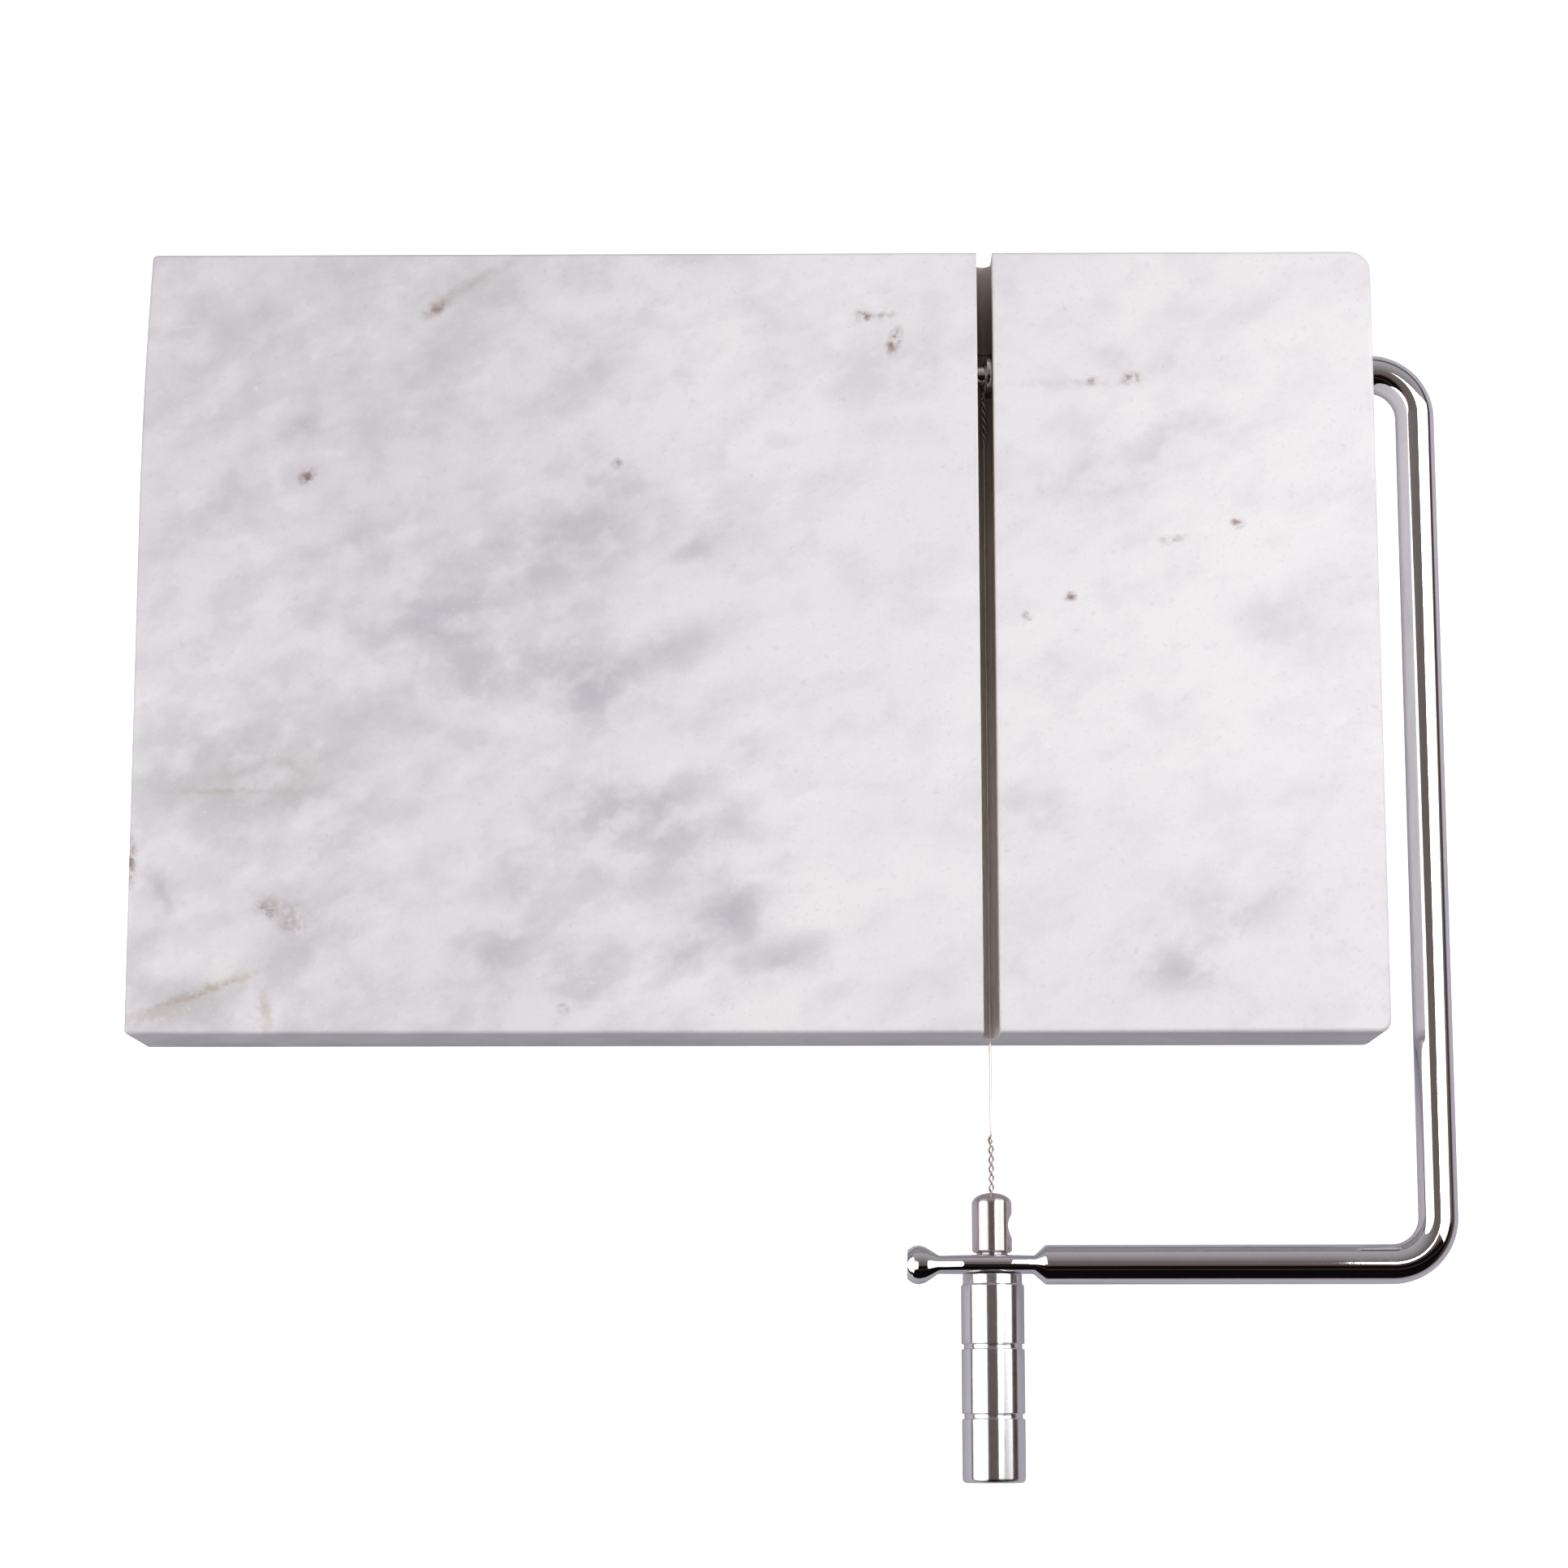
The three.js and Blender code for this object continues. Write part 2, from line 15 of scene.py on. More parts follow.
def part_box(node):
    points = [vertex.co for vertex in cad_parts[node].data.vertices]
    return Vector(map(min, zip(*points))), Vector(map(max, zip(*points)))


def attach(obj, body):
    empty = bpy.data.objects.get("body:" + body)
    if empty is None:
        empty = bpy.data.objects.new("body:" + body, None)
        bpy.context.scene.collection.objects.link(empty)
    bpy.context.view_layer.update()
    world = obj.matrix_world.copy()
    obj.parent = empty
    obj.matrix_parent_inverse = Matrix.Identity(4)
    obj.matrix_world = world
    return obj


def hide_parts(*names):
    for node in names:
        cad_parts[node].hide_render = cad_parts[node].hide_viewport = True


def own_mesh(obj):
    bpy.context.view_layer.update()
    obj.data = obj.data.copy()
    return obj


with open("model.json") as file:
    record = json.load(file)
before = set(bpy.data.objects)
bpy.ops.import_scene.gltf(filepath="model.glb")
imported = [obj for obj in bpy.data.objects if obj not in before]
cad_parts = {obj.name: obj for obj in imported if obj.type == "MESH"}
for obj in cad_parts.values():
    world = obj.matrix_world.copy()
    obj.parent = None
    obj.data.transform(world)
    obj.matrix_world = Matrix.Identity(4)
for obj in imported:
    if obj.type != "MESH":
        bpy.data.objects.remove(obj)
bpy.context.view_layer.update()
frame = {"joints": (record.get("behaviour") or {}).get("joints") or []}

MM = 0.001
TINY = 1e-9  # stands in for zero: the radius of a ring that closes a body on its axis
SAME_POINT = 1e-7
CUTTER_SIDES = 64

# ---------------------------------------------------------------- camera

CAMERA_PLACE = Vector((3.3, -93.0, 601.5)) * MM
CAMERA_TILT = (9.364, 0.446, -0.051)  # degrees about X, Y and Z
CAMERA_LENS = 83.5
CAMERA_SHIFT = 0.033


def linked(name, data):
    obj = bpy.data.objects.new(name, data)
    bpy.context.scene.collection.objects.link(obj)
    return obj


def make_camera():
    """The camera that was fitted to the board's corners in the photo."""
    data = bpy.data.cameras.new("camera")
    data.sensor_width = 36
    data.lens = CAMERA_LENS
    data.shift_y = CAMERA_SHIFT
    data.clip_start = 0.01
    camera = linked("camera", data)
    camera.location = CAMERA_PLACE
    camera.rotation_euler = [math.radians(a) for a in CAMERA_TILT]
    bpy.context.scene.camera = camera


make_camera()

# ---------------------------------------------------------------- places from the frame

board_low, board_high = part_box("marble_board")
bow_low, bow_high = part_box("bow_arm")
screw_low, screw_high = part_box("tension_screw")
barrel_low, barrel_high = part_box("wire_anchor_barrel")
grip_low, grip_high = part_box("handle_grip")
pivot = Vector(next(j["pos_m"] for j in frame["joints"] if j["name"] == "bow_pivot"))

board_centre = (board_low + board_high) / 2
barrel_centre = (barrel_low + barrel_high) / 2

# A name that is only a round part's own, such as ROD, HEAD or GRIP, is that part's radius.

# Board and groove
BOARD_EASE = 0.75 * MM
SHARP_CORNER = 0.8 * MM
REAR_RIGHT_CORNER = 3.4 * MM
FRONT_RIGHT_CORNER = 2.0 * MM
LEFT_SET_BACK = 1.1 * MM  # of the left side at the rear, as its outline curves in there
LEFT_EASE_LENGTH = 46 * MM
GROOVE_HALF = 1.3 * MM
GROOVE_DEPTH = 8.3 * MM
GROOVE_EASE = 0.35 * MM
BORE_RADIUS = 3.5 * MM
BORE_PAST_GROOVE = 13.6 * MM  # from the groove's middle
BORE_FLARE = 0.35 * MM

# Bow
ROD = 3.175 * MM
BEND = 7.6 * MM
NECK = 1.6 * MM
NECK_HALF = 0.8 * MM
NECK_SHIFT = -0.4 * MM  # from the wire's line
NECK_FLARE = 0.06 * MM
EYE_THICK = 1.5 * MM  # half the eye's thickness at its middle
EYE_HOLE = 2.7 * MM
arm_x = bow_high.x - ROD
bar_y = bow_low.y + ROD
rod_end_x = pivot.x - BORE_PAST_GROOVE + 0.6 * MM

# Screw, barrel and handle
HEAD = 3.22 * MM
HEAD_LENGTH = 9.6 * MM
DOME = 1.75 * MM  # the dome's height
SHANK = 2.5 * MM
PITCH = 0.8 * MM
THREAD_DEPTH = 0.45 * MM
THREAD_CREST = 0.12  # share of half a pitch that stays at full radius
WINDOW = 2.0 * MM  # the cross hole through the head
WINDOW_PAST_AXIS = 1.9 * MM
WINDOW_FROM_DOME = 5.35 * MM
WIRE_HOLE = 0.7 * MM
BARREL_WAIST = 0.7 * MM
dome_top = screw_high.y
head_bottom = dome_top - HEAD_LENGTH

COLLAR = 4.75 * MM
COLLAR_LENGTH = 1.3 * MM
COLLAR_GAP = 0.04 * MM
GRIP = 5.05 * MM
RINGS = (9.5 * MM, 20.5 * MM)  # from the shoulder to each turned ring
RING_WIDTH = 0.9 * MM
RING_DEPTH = 0.38 * MM
GRIP_BORE = 2.7 * MM
GRIP_BORE_DEPTH = 27 * MM

# Wire
WIRE = 0.18 * MM
TWIST_RADIUS = 0.32 * MM
REAR_APEX = 3.7 * MM  # from the neck's axis to where the loop's two strands meet
REAR_TWIST = 8.0 * MM
FRONT_APEX = 1.66 * MM  # the same from the barrel's axis
FRONT_TWIST_OUTSIDE = 9.2 * MM
FRONT_TURNS = 4.0
REAR_TURNS = 3.0
REAR_LOOP_LEAN = 0.4 * MM
LOOP_CLEARANCE = 0.1 * MM
TAIL_SPRING = 0.3 * MM  # how far a cut tail stands off its twist

# ---------------------------------------------------------------- mesh helpers


def rounded(corners, steps=4):
    """An open outline of (u, v, radius) corners, with each corner rounded to its radius."""
    path = []
    for i, (u, v, radius) in enumerate(corners):
        here = Vector((u, v))
        if radius == 0 or i in (0, len(corners) - 1):
            path.append(here)
            continue
        before = (Vector(corners[i - 1][:2]) - here).normalized()
        after = (Vector(corners[i + 1][:2]) - here).normalized()
        half = before.angle(after) / 2
        centre = here + (before + after).normalized() * (radius / math.sin(half))
        spoke = here + before * (radius / math.tan(half)) - centre
        turn = 1 if before.cross(after) < 0 else -1
        for k in range(steps + 1):
            angle = turn * (math.pi - 2 * half) * k / steps
            path.append(centre + Matrix.Rotation(angle, 2) @ spoke)
    return path


def solid_from(name, build):
    """A closed mesh object that build(bm) fills, with its faces turned outwards."""
    bm = bmesh.new()
    build(bm)
    bmesh.ops.remove_doubles(bm, verts=bm.verts, dist=SAME_POINT)
    bmesh.ops.recalc_face_normals(bm, faces=bm.faces)
    mesh = bpy.data.meshes.new(name)
    bm.to_mesh(mesh)
    bm.free()
    return linked(name, mesh)


def skin(name, rings, cap=False):
    """A body skinned over closed rings of points. cap fills the first and last ring."""
    rings = [[Vector(p) for p in ring] for ring in rings]

    def build(bm):
        rows = [[bm.verts.new(p) for p in ring] for ring in rings]
        count = len(rows[0])
        for lower, upper in zip(rows, rows[1:]):
            for k in range(count):
                after = (k + 1) % count
                bm.faces.new((lower[k], lower[after], upper[after], upper[k]))
        if cap:
            bm.faces.new(rows[0])
            bm.faces.new(rows[-1])

    return solid_from(name, build)


def circle(sides):
    """The angles of that many points, evenly round a circle."""
    return [2 * math.pi * k / sides for k in range(sides)]


def turned(name, profile, sides, axis, origin):
    """A body turned from (radius, along) points that start and end on the axis X, Y or Z."""
    along = Vector({"X": (1, 0, 0), "Y": (0, 1, 0), "Z": (0, 0, 1)}[axis])
    across = Vector((0, 0, 1)) if axis != "Z" else Vector((1, 0, 0))
    other = along.cross(across)
    rings = [
        [
            origin + along * v + (across * math.cos(a) + other * math.sin(a)) * u
            for a in circle(sides)
        ]
        for u, v in profile
    ]
    return skin(name, rings)


def cut(obj, *tools):
    """Cuts each tool out of obj and removes the tool."""
    for tool in tools:
        modifier = obj.modifiers.new("cut", "BOOLEAN")
        modifier.operation = "DIFFERENCE"
        modifier.solver = "EXACT"
        modifier.object = tool
    settle(obj)
    for tool in tools:
        bpy.data.objects.remove(tool)


def settle(obj):
    """Applies obj's modifiers to its mesh."""
    graph = bpy.context.evaluated_depsgraph_get()
    mesh = bpy.data.meshes.new_from_object(obj.evaluated_get(graph))
    obj.modifiers.clear()
    obj.data = mesh
    mesh.name = obj.name


def smooth(obj, degrees=32):
    """Smooth shading that keeps edges sharper than the angle, led by the large faces."""
    obj.data.shade_smooth()
    obj.data.set_sharp_from_angle(angle=math.radians(degrees))
    modifier = obj.modifiers.new("even_normals", "WEIGHTED_NORMAL")
    modifier.keep_sharp = True
    modifier.weight = 50
    settle(obj)


def place(obj, body, slot, material, *nodes):
    """Gives a finished piece its material and body, and hides the CAD nodes it replaces; slot is
    not used.
    """
    obj.data.materials.clear()
    obj.data.materials.append(material)
    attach(obj, body)
    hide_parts(*nodes)


# ---------------------------------------------------------------- node helpers


class Nodes:
    """A node tree, with short ways to add and join nodes."""

    def __init__(self, tree):
        self.tree = tree

    def node(self, kind, inputs=None, **settings):
        """A new node, with its settings made before its inputs are fed."""
        made = self.tree.nodes.new(kind)
        for key, value in settings.items():
            setattr(made, key, value)
        for key, value in (inputs or {}).items():
            self.feed(made.inputs[key], value)
        return made

    def feed(self, socket, value):
        """Joins a socket to the input, or gives it a constant."""
        if isinstance(value, bpy.types.NodeSocket):
            self.tree.links.new(value, socket)
        else:
            socket.default_value = value

    def math(self, operation, a, b=0.0):
        return self.node("ShaderNodeMath", {0: a, 1: b}, operation=operation).outputs[0]

    def vector(self, operation, a, b=(0, 0, 0), c=(0, 0, 0), scale=1.0):
        inputs = {0: a, 1: b, 2: c, 3: scale}
        made = self.node("ShaderNodeVectorMath", inputs, operation=operation)
        return made.outputs["Value" if operation in ("DOT_PRODUCT", "LENGTH") else "Vector"]

    def parts(self, vector):
        """The X, Y and Z of a vector."""
        made = self.node("ShaderNodeSeparateXYZ", {0: vector})
        return [made.outputs[axis] for axis in "XYZ"]

    def remap(self, value, low, high, to_low=0.0, to_high=1.0):
        """value taken smoothly from low..high to to_low..to_high, and held there outside."""
        inputs = {
            "Value": value,
            "From Min": low,
            "From Max": high,
            "To Min": to_low,
            "To Max": to_high,
        }
        made = self.node("ShaderNodeMapRange", inputs, interpolation_type="SMOOTHSTEP")
        return made.outputs["Result"]

    def mix(self, share, a, b):
        """The colour a, with a share of b."""
        made = self.node("ShaderNodeMix", data_type="RGBA")
        self.feed(made.inputs[0], share)
        self.feed(made.inputs[6], a)
        self.feed(made.inputs[7], b)
        return made.outputs[2]

    def tint(self, base, mask, share, tone):
        """base, taken towards tone by a share of the mask."""
        return self.mix(self.math("MULTIPLY", mask, share), base, tone)

    def coordinates(self, turn=0.0, scale=(1, 1, 1), kind="POINT"):
        """Object coordinates, turned about Z in degrees and scaled."""
        inputs = {
            "Vector": self.node("ShaderNodeTexCoord").outputs["Object"],
            "Rotation": (0, 0, math.radians(turn)),
            "Scale": scale,
        }
        return self.node("ShaderNodeMapping", inputs, vector_type=kind).outputs[0]

    def noise_node(self, vector, scale, detail, rough):
        inputs = {"Vector": vector, "Scale": scale, "Detail": detail, "Roughness": rough}
        return self.node("ShaderNodeTexNoise", inputs)

    def noise(self, vector, scale, detail, rough):
        """Noise from 0 to 1, with its finest detail about 1 / (scale * 2 ** detail) across."""
        return self.noise_node(vector, scale, detail, rough).outputs["Fac"]

    def lines(self, at, scale, detail, rough):
        """Noise along one axis only, as fine lines across it."""
        inputs = {"W": at, "Scale": scale, "Detail": detail, "Roughness": rough}
        return self.node("ShaderNodeTexNoise", inputs, noise_dimensions="1D").outputs["Fac"]

    def bent(self, vector, scale, detail, distance):
        """The vector, pushed about by noise by up to about half the distance."""
        push = self.noise_node(vector, scale, detail, 0.6).outputs["Color"]
        push = self.vector("SUBTRACT", push, (0.5, 0.5, 0.5))
        return self.vector("ADD", vector, self.vector("SCALE", push, scale=distance))

    def bump(self, height, distance, strength, under=None):
        """A normal for fine relief, distance deep, on top of the relief under it."""
        inputs = {"Height": height, "Distance": distance, "Strength": strength}
        if under is not None:
            inputs["Normal"] = under
        return self.node("ShaderNodeBump", inputs).outputs["Normal"]


class Material(Nodes):
    """A new material and its node tree, round one Principled shader."""

    def __init__(self, name):
        self.material = bpy.data.materials.new(name)
        self.material.use_nodes = True
        super().__init__(self.material.node_tree)
        self.surface = self.tree.nodes["Principled BSDF"]

    def set(self, **values):
        """Feeds inputs of the Principled shader, named with _ for each space."""
        for key, value in values.items():
            self.feed(self.surface.inputs[key.replace("_", " ")], value)


def colour(r, g, b):
    return (r, g, b, 1.0)


# ---------------------------------------------------------------- materials

# Tones of the stone, and the dark of the groove's painted shade
WHITE = colour(0.93, 0.925, 0.935)
PINK = colour(0.885, 0.868, 0.885)
GREY = colour(0.61, 0.595, 0.63)
LAVENDER = colour(0.46, 0.445, 0.50)
GREEN = colour(0.53, 0.54, 0.53)
BROWN = colour(0.25, 0.14, 0.10)
RUST = colour(0.41, 0.31, 0.225)
FLECK = colour(0.90, 0.90, 0.90)
SUGAR = colour(0.93, 0.92, 0.94)
SAWN = colour(0.93, 0.85, 0.79)
# Painted shade for the groove's depths, not a tone of the stone
GROOVE_SHADE = colour(0.30, 0.25, 0.225)

# Natural marks of the stone, in millimetres from the board's middle:
# x, y, half length, half width, turn in degrees, strength
GREY_CLOUDS = (
    (-77, 57, 27, 6, 20, 0.22),
    (-75, 35, 4, 3, 20, 0.8),
    (-86, 22, 12, 4, 20, 0.45),
    (-66, 14, 9, 5, 20, 0.5),
    (-57, 46, 9, 4, 20, 0.3),
    (-52, 3, 13, 6, 20, 0.85),
    (-45, -6, 20, 5, 10, 0.7),
    (-27, -8, 10, 5, 0, 1.0),
    (-34, 14, 17, 8, 20, 0.7),
    (-23, 26, 4, 3, -20, 0.8),
    (-27, 44, 4, 2, 0, 0.6),
    (-10, 15, 5, 2, 30, 0.7),
    (-16, -3, 10, 4, 20, 0.5),
    (-20, -29, 12, 5, 0, 0.8),
    (-8, -31, 8, 3, 20, 0.6),
    (-4, -46, 6, 4, 20, 1.0),
    (-12, -50, 6, 4, 30, 0.8),
    (2, -54, 8, 3, 20, 0.7),
    (-28, -56, 5, 3, 20, 0.6),
    (-40, -51, 8, 4, 30, 0.8),
    (-14, -37, 16, 6, 10, 0.4),
    (-2, -20, 8, 3, 30, 0.35),
    (-80, -27, 15, 3, 0, 0.6),
    (-96, -41, 4, 1.5, -60, 0.9),
    (-84, -38, 14, 8, 10, 0.35),
    (-84, -52, 22, 14, 10, 0.4),
    (20, 45, 14, 5, 10, 0.35),
    (55, 27, 12, 4, 10, 0.5),
    (70, 32, 10, 4, 20, 0.45),
    (62, 46, 7, 3, 0, 0.5),
    (67, -55, 6, 4, 0, 0.85),
    (72, -47, 14, 4, 20, 0.5),
    (50, -5, 10, 4, 20, 0.3),
    (84, 4, 9, 4, 20, 0.35),
    (44, -29, 8, 3, -10, 0.4),
)
GREEN_CLOUDS = (
    (-81, -22, 18, 7, 0, 1.0),
    (-84, 42, 16, 5, 10, 0.3),
    (-52, 59, 20, 5, 10, 0.3),
    (-88, -58, 11, 5, 20, 0.9),
    (-72, -50, 4, 5, -20, 0.6),
    (-18, -34, 12, 6, 0, 0.5),
)
BROWN_SPECKS = (
    (-53, 55.5, 1.9, 0.8, 30, 0.8),
    (-74, 27, 1.3, 0.9, 40, 1.0),
    (-79, -45, 1.7, 1.2, -20, 0.8),
    (-75, -47, 2.0, 1.6, -40, 0.5),
    (-101.2, -37, 0.8, 3.2, 0, 0.9),
    (17.6, 54.0, 1.2, 0.8, 0, 1.0),
    (20.6, 54.0, 1.8, 0.5, 10, 0.5),
    (22.6, 49.6, 0.9, 1.9, -20, 1.0),
    (-23, 29, 0.8, 0.7, 0, 0.7),
    (61.5, 43.2, 1.4, 0.8, 10, 1.0),
    (55, 42.6, 0.9, 0.6, 0, 0.7),
    (78.6, 18.6, 0.9, 0.7, 10, 1.0),
    (68, 16.0, 1.8, 0.5, 10, 0.5),
    (51, 6.4, 0.8, 0.7, 0, 1.0),
    (44, 3.2, 0.7, 0.5, 0, 0.8),
    (-31, -61, 0.9, 0.7, -40, 0.7),
)
RUST_VEINS = (
    (-90, -58.5, 9, 0.7, 20, 0.9),
    (-97, -62, 5, 1.5, 10, 0.5),
    (-79, -61, 1.0, 3.6, 10, 0.6),
    (-76, -44, 5, 1.0, -20, 0.45),
    (-47, 60, 8, 0.8, 30, 0.4),
    (-84, -25.5, 10, 0.5, 0, 0.4),
    (53, 42.4, 9, 0.8, 0, 0.25),
)
WHITE_FLECKS = (
    (-24, -23, 0.35, 1.8, 0, 0.6),
    (-96, 52, 2.0, 0.25, 0, 0.6),
    (-82, 42, 0.4, 0.4, 0, 0.6),
    (-66, -6, 0.7, 0.4, 20, 0.5),
    (-86, -52, 6, 3.5, 20, 0.7),
    (62, 11, 0.9, 0.3, 0, 0.5),
)
MARK_REACH = 1.9  # where a mark has faded out, in half lengths and half widths


def marks(sh, where, table):
    """One mask, 0 to 1, of soft-edged marks at the table's places."""
    turned_places = {}
    total = None
    for x, y, length, width, turn, strength in table:
        c = math.cos(math.radians(turn))
        s = math.sin(math.radians(turn))
        if turn not in turned_places:
            along = sh.vector("DOT_PRODUCT", where, (c, s, 0))
            across = sh.vector("DOT_PRODUCT", where, (-s, c, 0))
            joined = sh.node("ShaderNodeCombineXYZ", {0: along, 1: across})
            turned_places[turn] = joined.outputs[0]
        middle_x = board_centre.x + x * MM
        middle_y = board_centre.y + y * MM
        half_length = length * MM
        half_width = width * MM
        start = (
            -(middle_x * c + middle_y * s) / half_length,
            -(middle_y * c - middle_x * s) / half_width,
            0,
        )
        stretch = (1 / half_length, 1 / half_width, 0)
        away = sh.vector("MULTIPLY_ADD", turned_places[turn], stretch, start)
        mask = sh.remap(sh.vector("LENGTH", away), MARK_REACH, 0.0, 0, strength)
        total = mask if total is None else sh.math("MAXIMUM", total, mask)
    return total


def drifting_clouds(sh, x, blot):
    """White stone with broad pink and grey clouds, cloudier on its left, with painted shade
    darkening its left side.
    """
    drift = sh.coordinates(turn=18, scale=(1.7, 1.0, 1.0), kind="TEXTURE")
    broad = sh.noise(drift, 30, 5, 0.55)
    patch = sh.noise(drift, 85, 5, 0.6)
    cloudy_side = sh.remap(x, 22 * MM, -60 * MM, 0.38, 1.0)
    # Painted shade: the left side is taken towards lavender, darker away from the right-hand
    # light.
    painted_shade_left = sh.remap(x, 6 * MM, -56 * MM, 0, 0.26)
    drifted = sh.math("MULTIPLY", sh.remap(patch, 0.44, 0.72), cloudy_side)
    mottled = sh.math("MULTIPLY", sh.remap(blot, 0.48, 0.72), cloudy_side)
    base = sh.mix(sh.remap(broad, 0.38, 0.62), WHITE, PINK)
    base = sh.mix(painted_shade_left, base, LAVENDER)
    base = sh.tint(base, drifted, 0.6, GREY)
    base = sh.tint(base, mottled, 0.45, GREY)
    return sh.mix(sh.remap(blot, 0.46, 0.28, 0, 0.3), base, WHITE)


def named_marks(sh, base, depth, blot, speckle):
    """Adds the listed marks. Their places are bent by noise, so none is a clean oval."""
    plain = sh.coordinates()
    bent = sh.bent(plain, 110, 4, 8 * MM)
    ragged = sh.bent(plain, 800, 2, 1.4 * MM)
    broken = sh.remap(blot, 0.34, 0.60, 0.3, 1.0)
    near_top = sh.remap(depth, 6 * MM, 1 * MM)
    broken_fine = sh.math("MULTIPLY", near_top, sh.remap(speckle, 0.34, 0.58, 0.1, 1.0))
    layers = (
        (GREY_CLOUDS, bent, broken, 0.67, LAVENDER),
        (GREEN_CLOUDS, bent, broken, 0.85, GREEN),
        (WHITE_FLECKS, bent, broken, 1.0, FLECK),
        (RUST_VEINS, ragged, broken_fine, 0.7, RUST),
        (BROWN_SPECKS, ragged, broken_fine, 0.95, BROWN),
    )
    for table, where, breaking, share, tone in layers:
        mask = sh.math("MULTIPLY", marks(sh, where, table), breaking)
        base = sh.tint(base, mask, share, tone)
    return base


def sawn_groove(sh, base, x, y, depth):
    """Raw sawn stone in the groove, with painted shade that grows down into the groove, darkest
    from the pivot rearwards, fading out to the front end and a little at the rear end.
    """
    aside = sh.math("ABSOLUTE", sh.math("SUBTRACT", x, pivot.x))
    narrow = sh.math("LESS_THAN", aside, GROOVE_HALF + 0.2 * MM)
    shallow = sh.math("LESS_THAN", depth, GROOVE_DEPTH + 0.5 * MM)
    inside = sh.math("MULTIPLY", narrow, shallow)
    front_half = sh.remap(y, board_low.y + 20 * MM, pivot.y - 30 * MM, 0, 0.42)
    near_pivot = sh.remap(y, pivot.y - 34 * MM, pivot.y - 2 * MM, 0, 0.48)
    rear_end = sh.remap(y, board_high.y, board_high.y - 14 * MM, 0.25, 1.0)
    # Painted shade: darker deeper in the groove and from the pivot rearwards, lighter towards
    # its open ends.
    groove_shade = sh.math("MULTIPLY", inside, sh.remap(depth, 0.2 * MM, 3.5 * MM))
    groove_shade = sh.math("MULTIPLY", groove_shade, sh.math("ADD", front_half, near_pivot))
    groove_shade = sh.math("MULTIPLY", groove_shade, rear_end)
    return sh.mix(groove_shade, sh.tint(base, inside, 0.6, SAWN), GROOVE_SHADE)


def marble():
    """White-grey marble: drifting clouds, a few mineral specks, fine grain, a sawn groove."""
    sh = Material("honed_marble")
    plain = sh.coordinates()
    x, y, z = sh.parts(plain)
    depth = sh.math("SUBTRACT", board_high.z, z)
    blots = sh.coordinates(turn=25, scale=(1.3, 1.0, 1.0), kind="TEXTURE")
    blot = sh.noise(sh.bent(blots, 300, 2, 3 * MM), 170, 3, 0.5)
    speckle = sh.noise(plain, 700, 3, 0.65)
    grain = sh.noise(plain, 1900, 2, 0.6)

    base = drifting_clouds(sh, x, blot)
    base = named_marks(sh, base, depth, blot, speckle)
    # Fine crystals: darker pepper and lighter sugar, both faint.
    base = sh.mix(sh.remap(grain, 0.56, 0.78, 0, 0.25), base, GREY)
    base = sh.mix(sh.remap(speckle, 0.58, 0.80, 0, 0.25), base, LAVENDER)
    base = sh.mix(sh.remap(grain, 0.40, 0.22, 0, 0.35), base, SUGAR)
    base = sawn_groove(sh, base, x, y, depth)

    shine = sh.remap(speckle, 0.3, 0.7, 0.30, 0.44)
    height = sh.math("ADD", grain, sh.math("MULTIPLY", speckle, 2.0))
    sh.set(Base_Color=base, Roughness=shine, Normal=sh.bump(height, 0.02 * MM, 0.5))
    sh.set(IOR=1.49, Specular_IOR_Level=0.42)
    return sh.material


def chrome(name, turned_lines=0.0):
    """Bright plated steel. turned_lines is how deep the lathe's rings round the Y axis are."""
    sh = Material(name)
    plain = sh.coordinates()
    haze = sh.noise(plain, 260, 4, 0.6)
    pits = sh.noise(plain, 2600, 2, 0.5)
    wipes = sh.noise(sh.coordinates(scale=(1, 0.15, 1)), 1500, 2, 0.6)
    tone = sh.mix(haze, colour(0.79, 0.785, 0.80), colour(0.87, 0.86, 0.865))
    hazy = sh.remap(haze, 0.3, 0.8, 0.025, 0.065)
    shine = sh.math("ADD", hazy, sh.remap(wipes, 0.55, 0.8, 0, 0.03))
    relief = sh.bump(haze, 0.03 * MM, 0.35)
    relief = sh.bump(pits, 0.004 * MM, 0.35, under=relief)
    if turned_lines:
        rings = sh.lines(sh.parts(plain)[1], 4200, 2, 0.7)
        relief = sh.bump(rings, turned_lines, 0.6, under=relief)
        shine = sh.math("ADD", shine, 0.17)
        turned_finish(sh)
    sh.set(Base_Color=tone, Metallic=1.0, Roughness=shine, Normal=relief)
    return sh.material


def turned_finish(sh):
    """Stretches reflections along the Y axis, as the lathe's fine rings do."""
    round_axis = sh.node("ShaderNodeTangent", direction_type="RADIAL", axis="Y").outputs[0]
    sh.set(Tangent=round_axis, Anisotropic=0.95, Anisotropic_Rotation=0.25)


def satin_steel():
    """Turned stainless steel with fine rings across it and a soft, warm shine."""
    sh = Material("satin_steel_turned")
    plain = sh.coordinates()
    rings = sh.lines(sh.parts(plain)[1], 5200, 3, 0.7)
    cloud = sh.noise(plain, 900, 3, 0.6)
    tone = sh.mix(cloud, colour(0.66, 0.61, 0.60), colour(0.76, 0.72, 0.71))
    shine = sh.remap(rings, 0.3, 0.7, 0.20, 0.27)
    relief = sh.bump(rings, 0.012 * MM, 0.6)
    relief = sh.bump(cloud, 0.02 * MM, 0.4, under=relief)
    turned_finish(sh)
    sh.set(Base_Color=tone, Metallic=1.0, Roughness=shine, Normal=relief)
    return sh.material


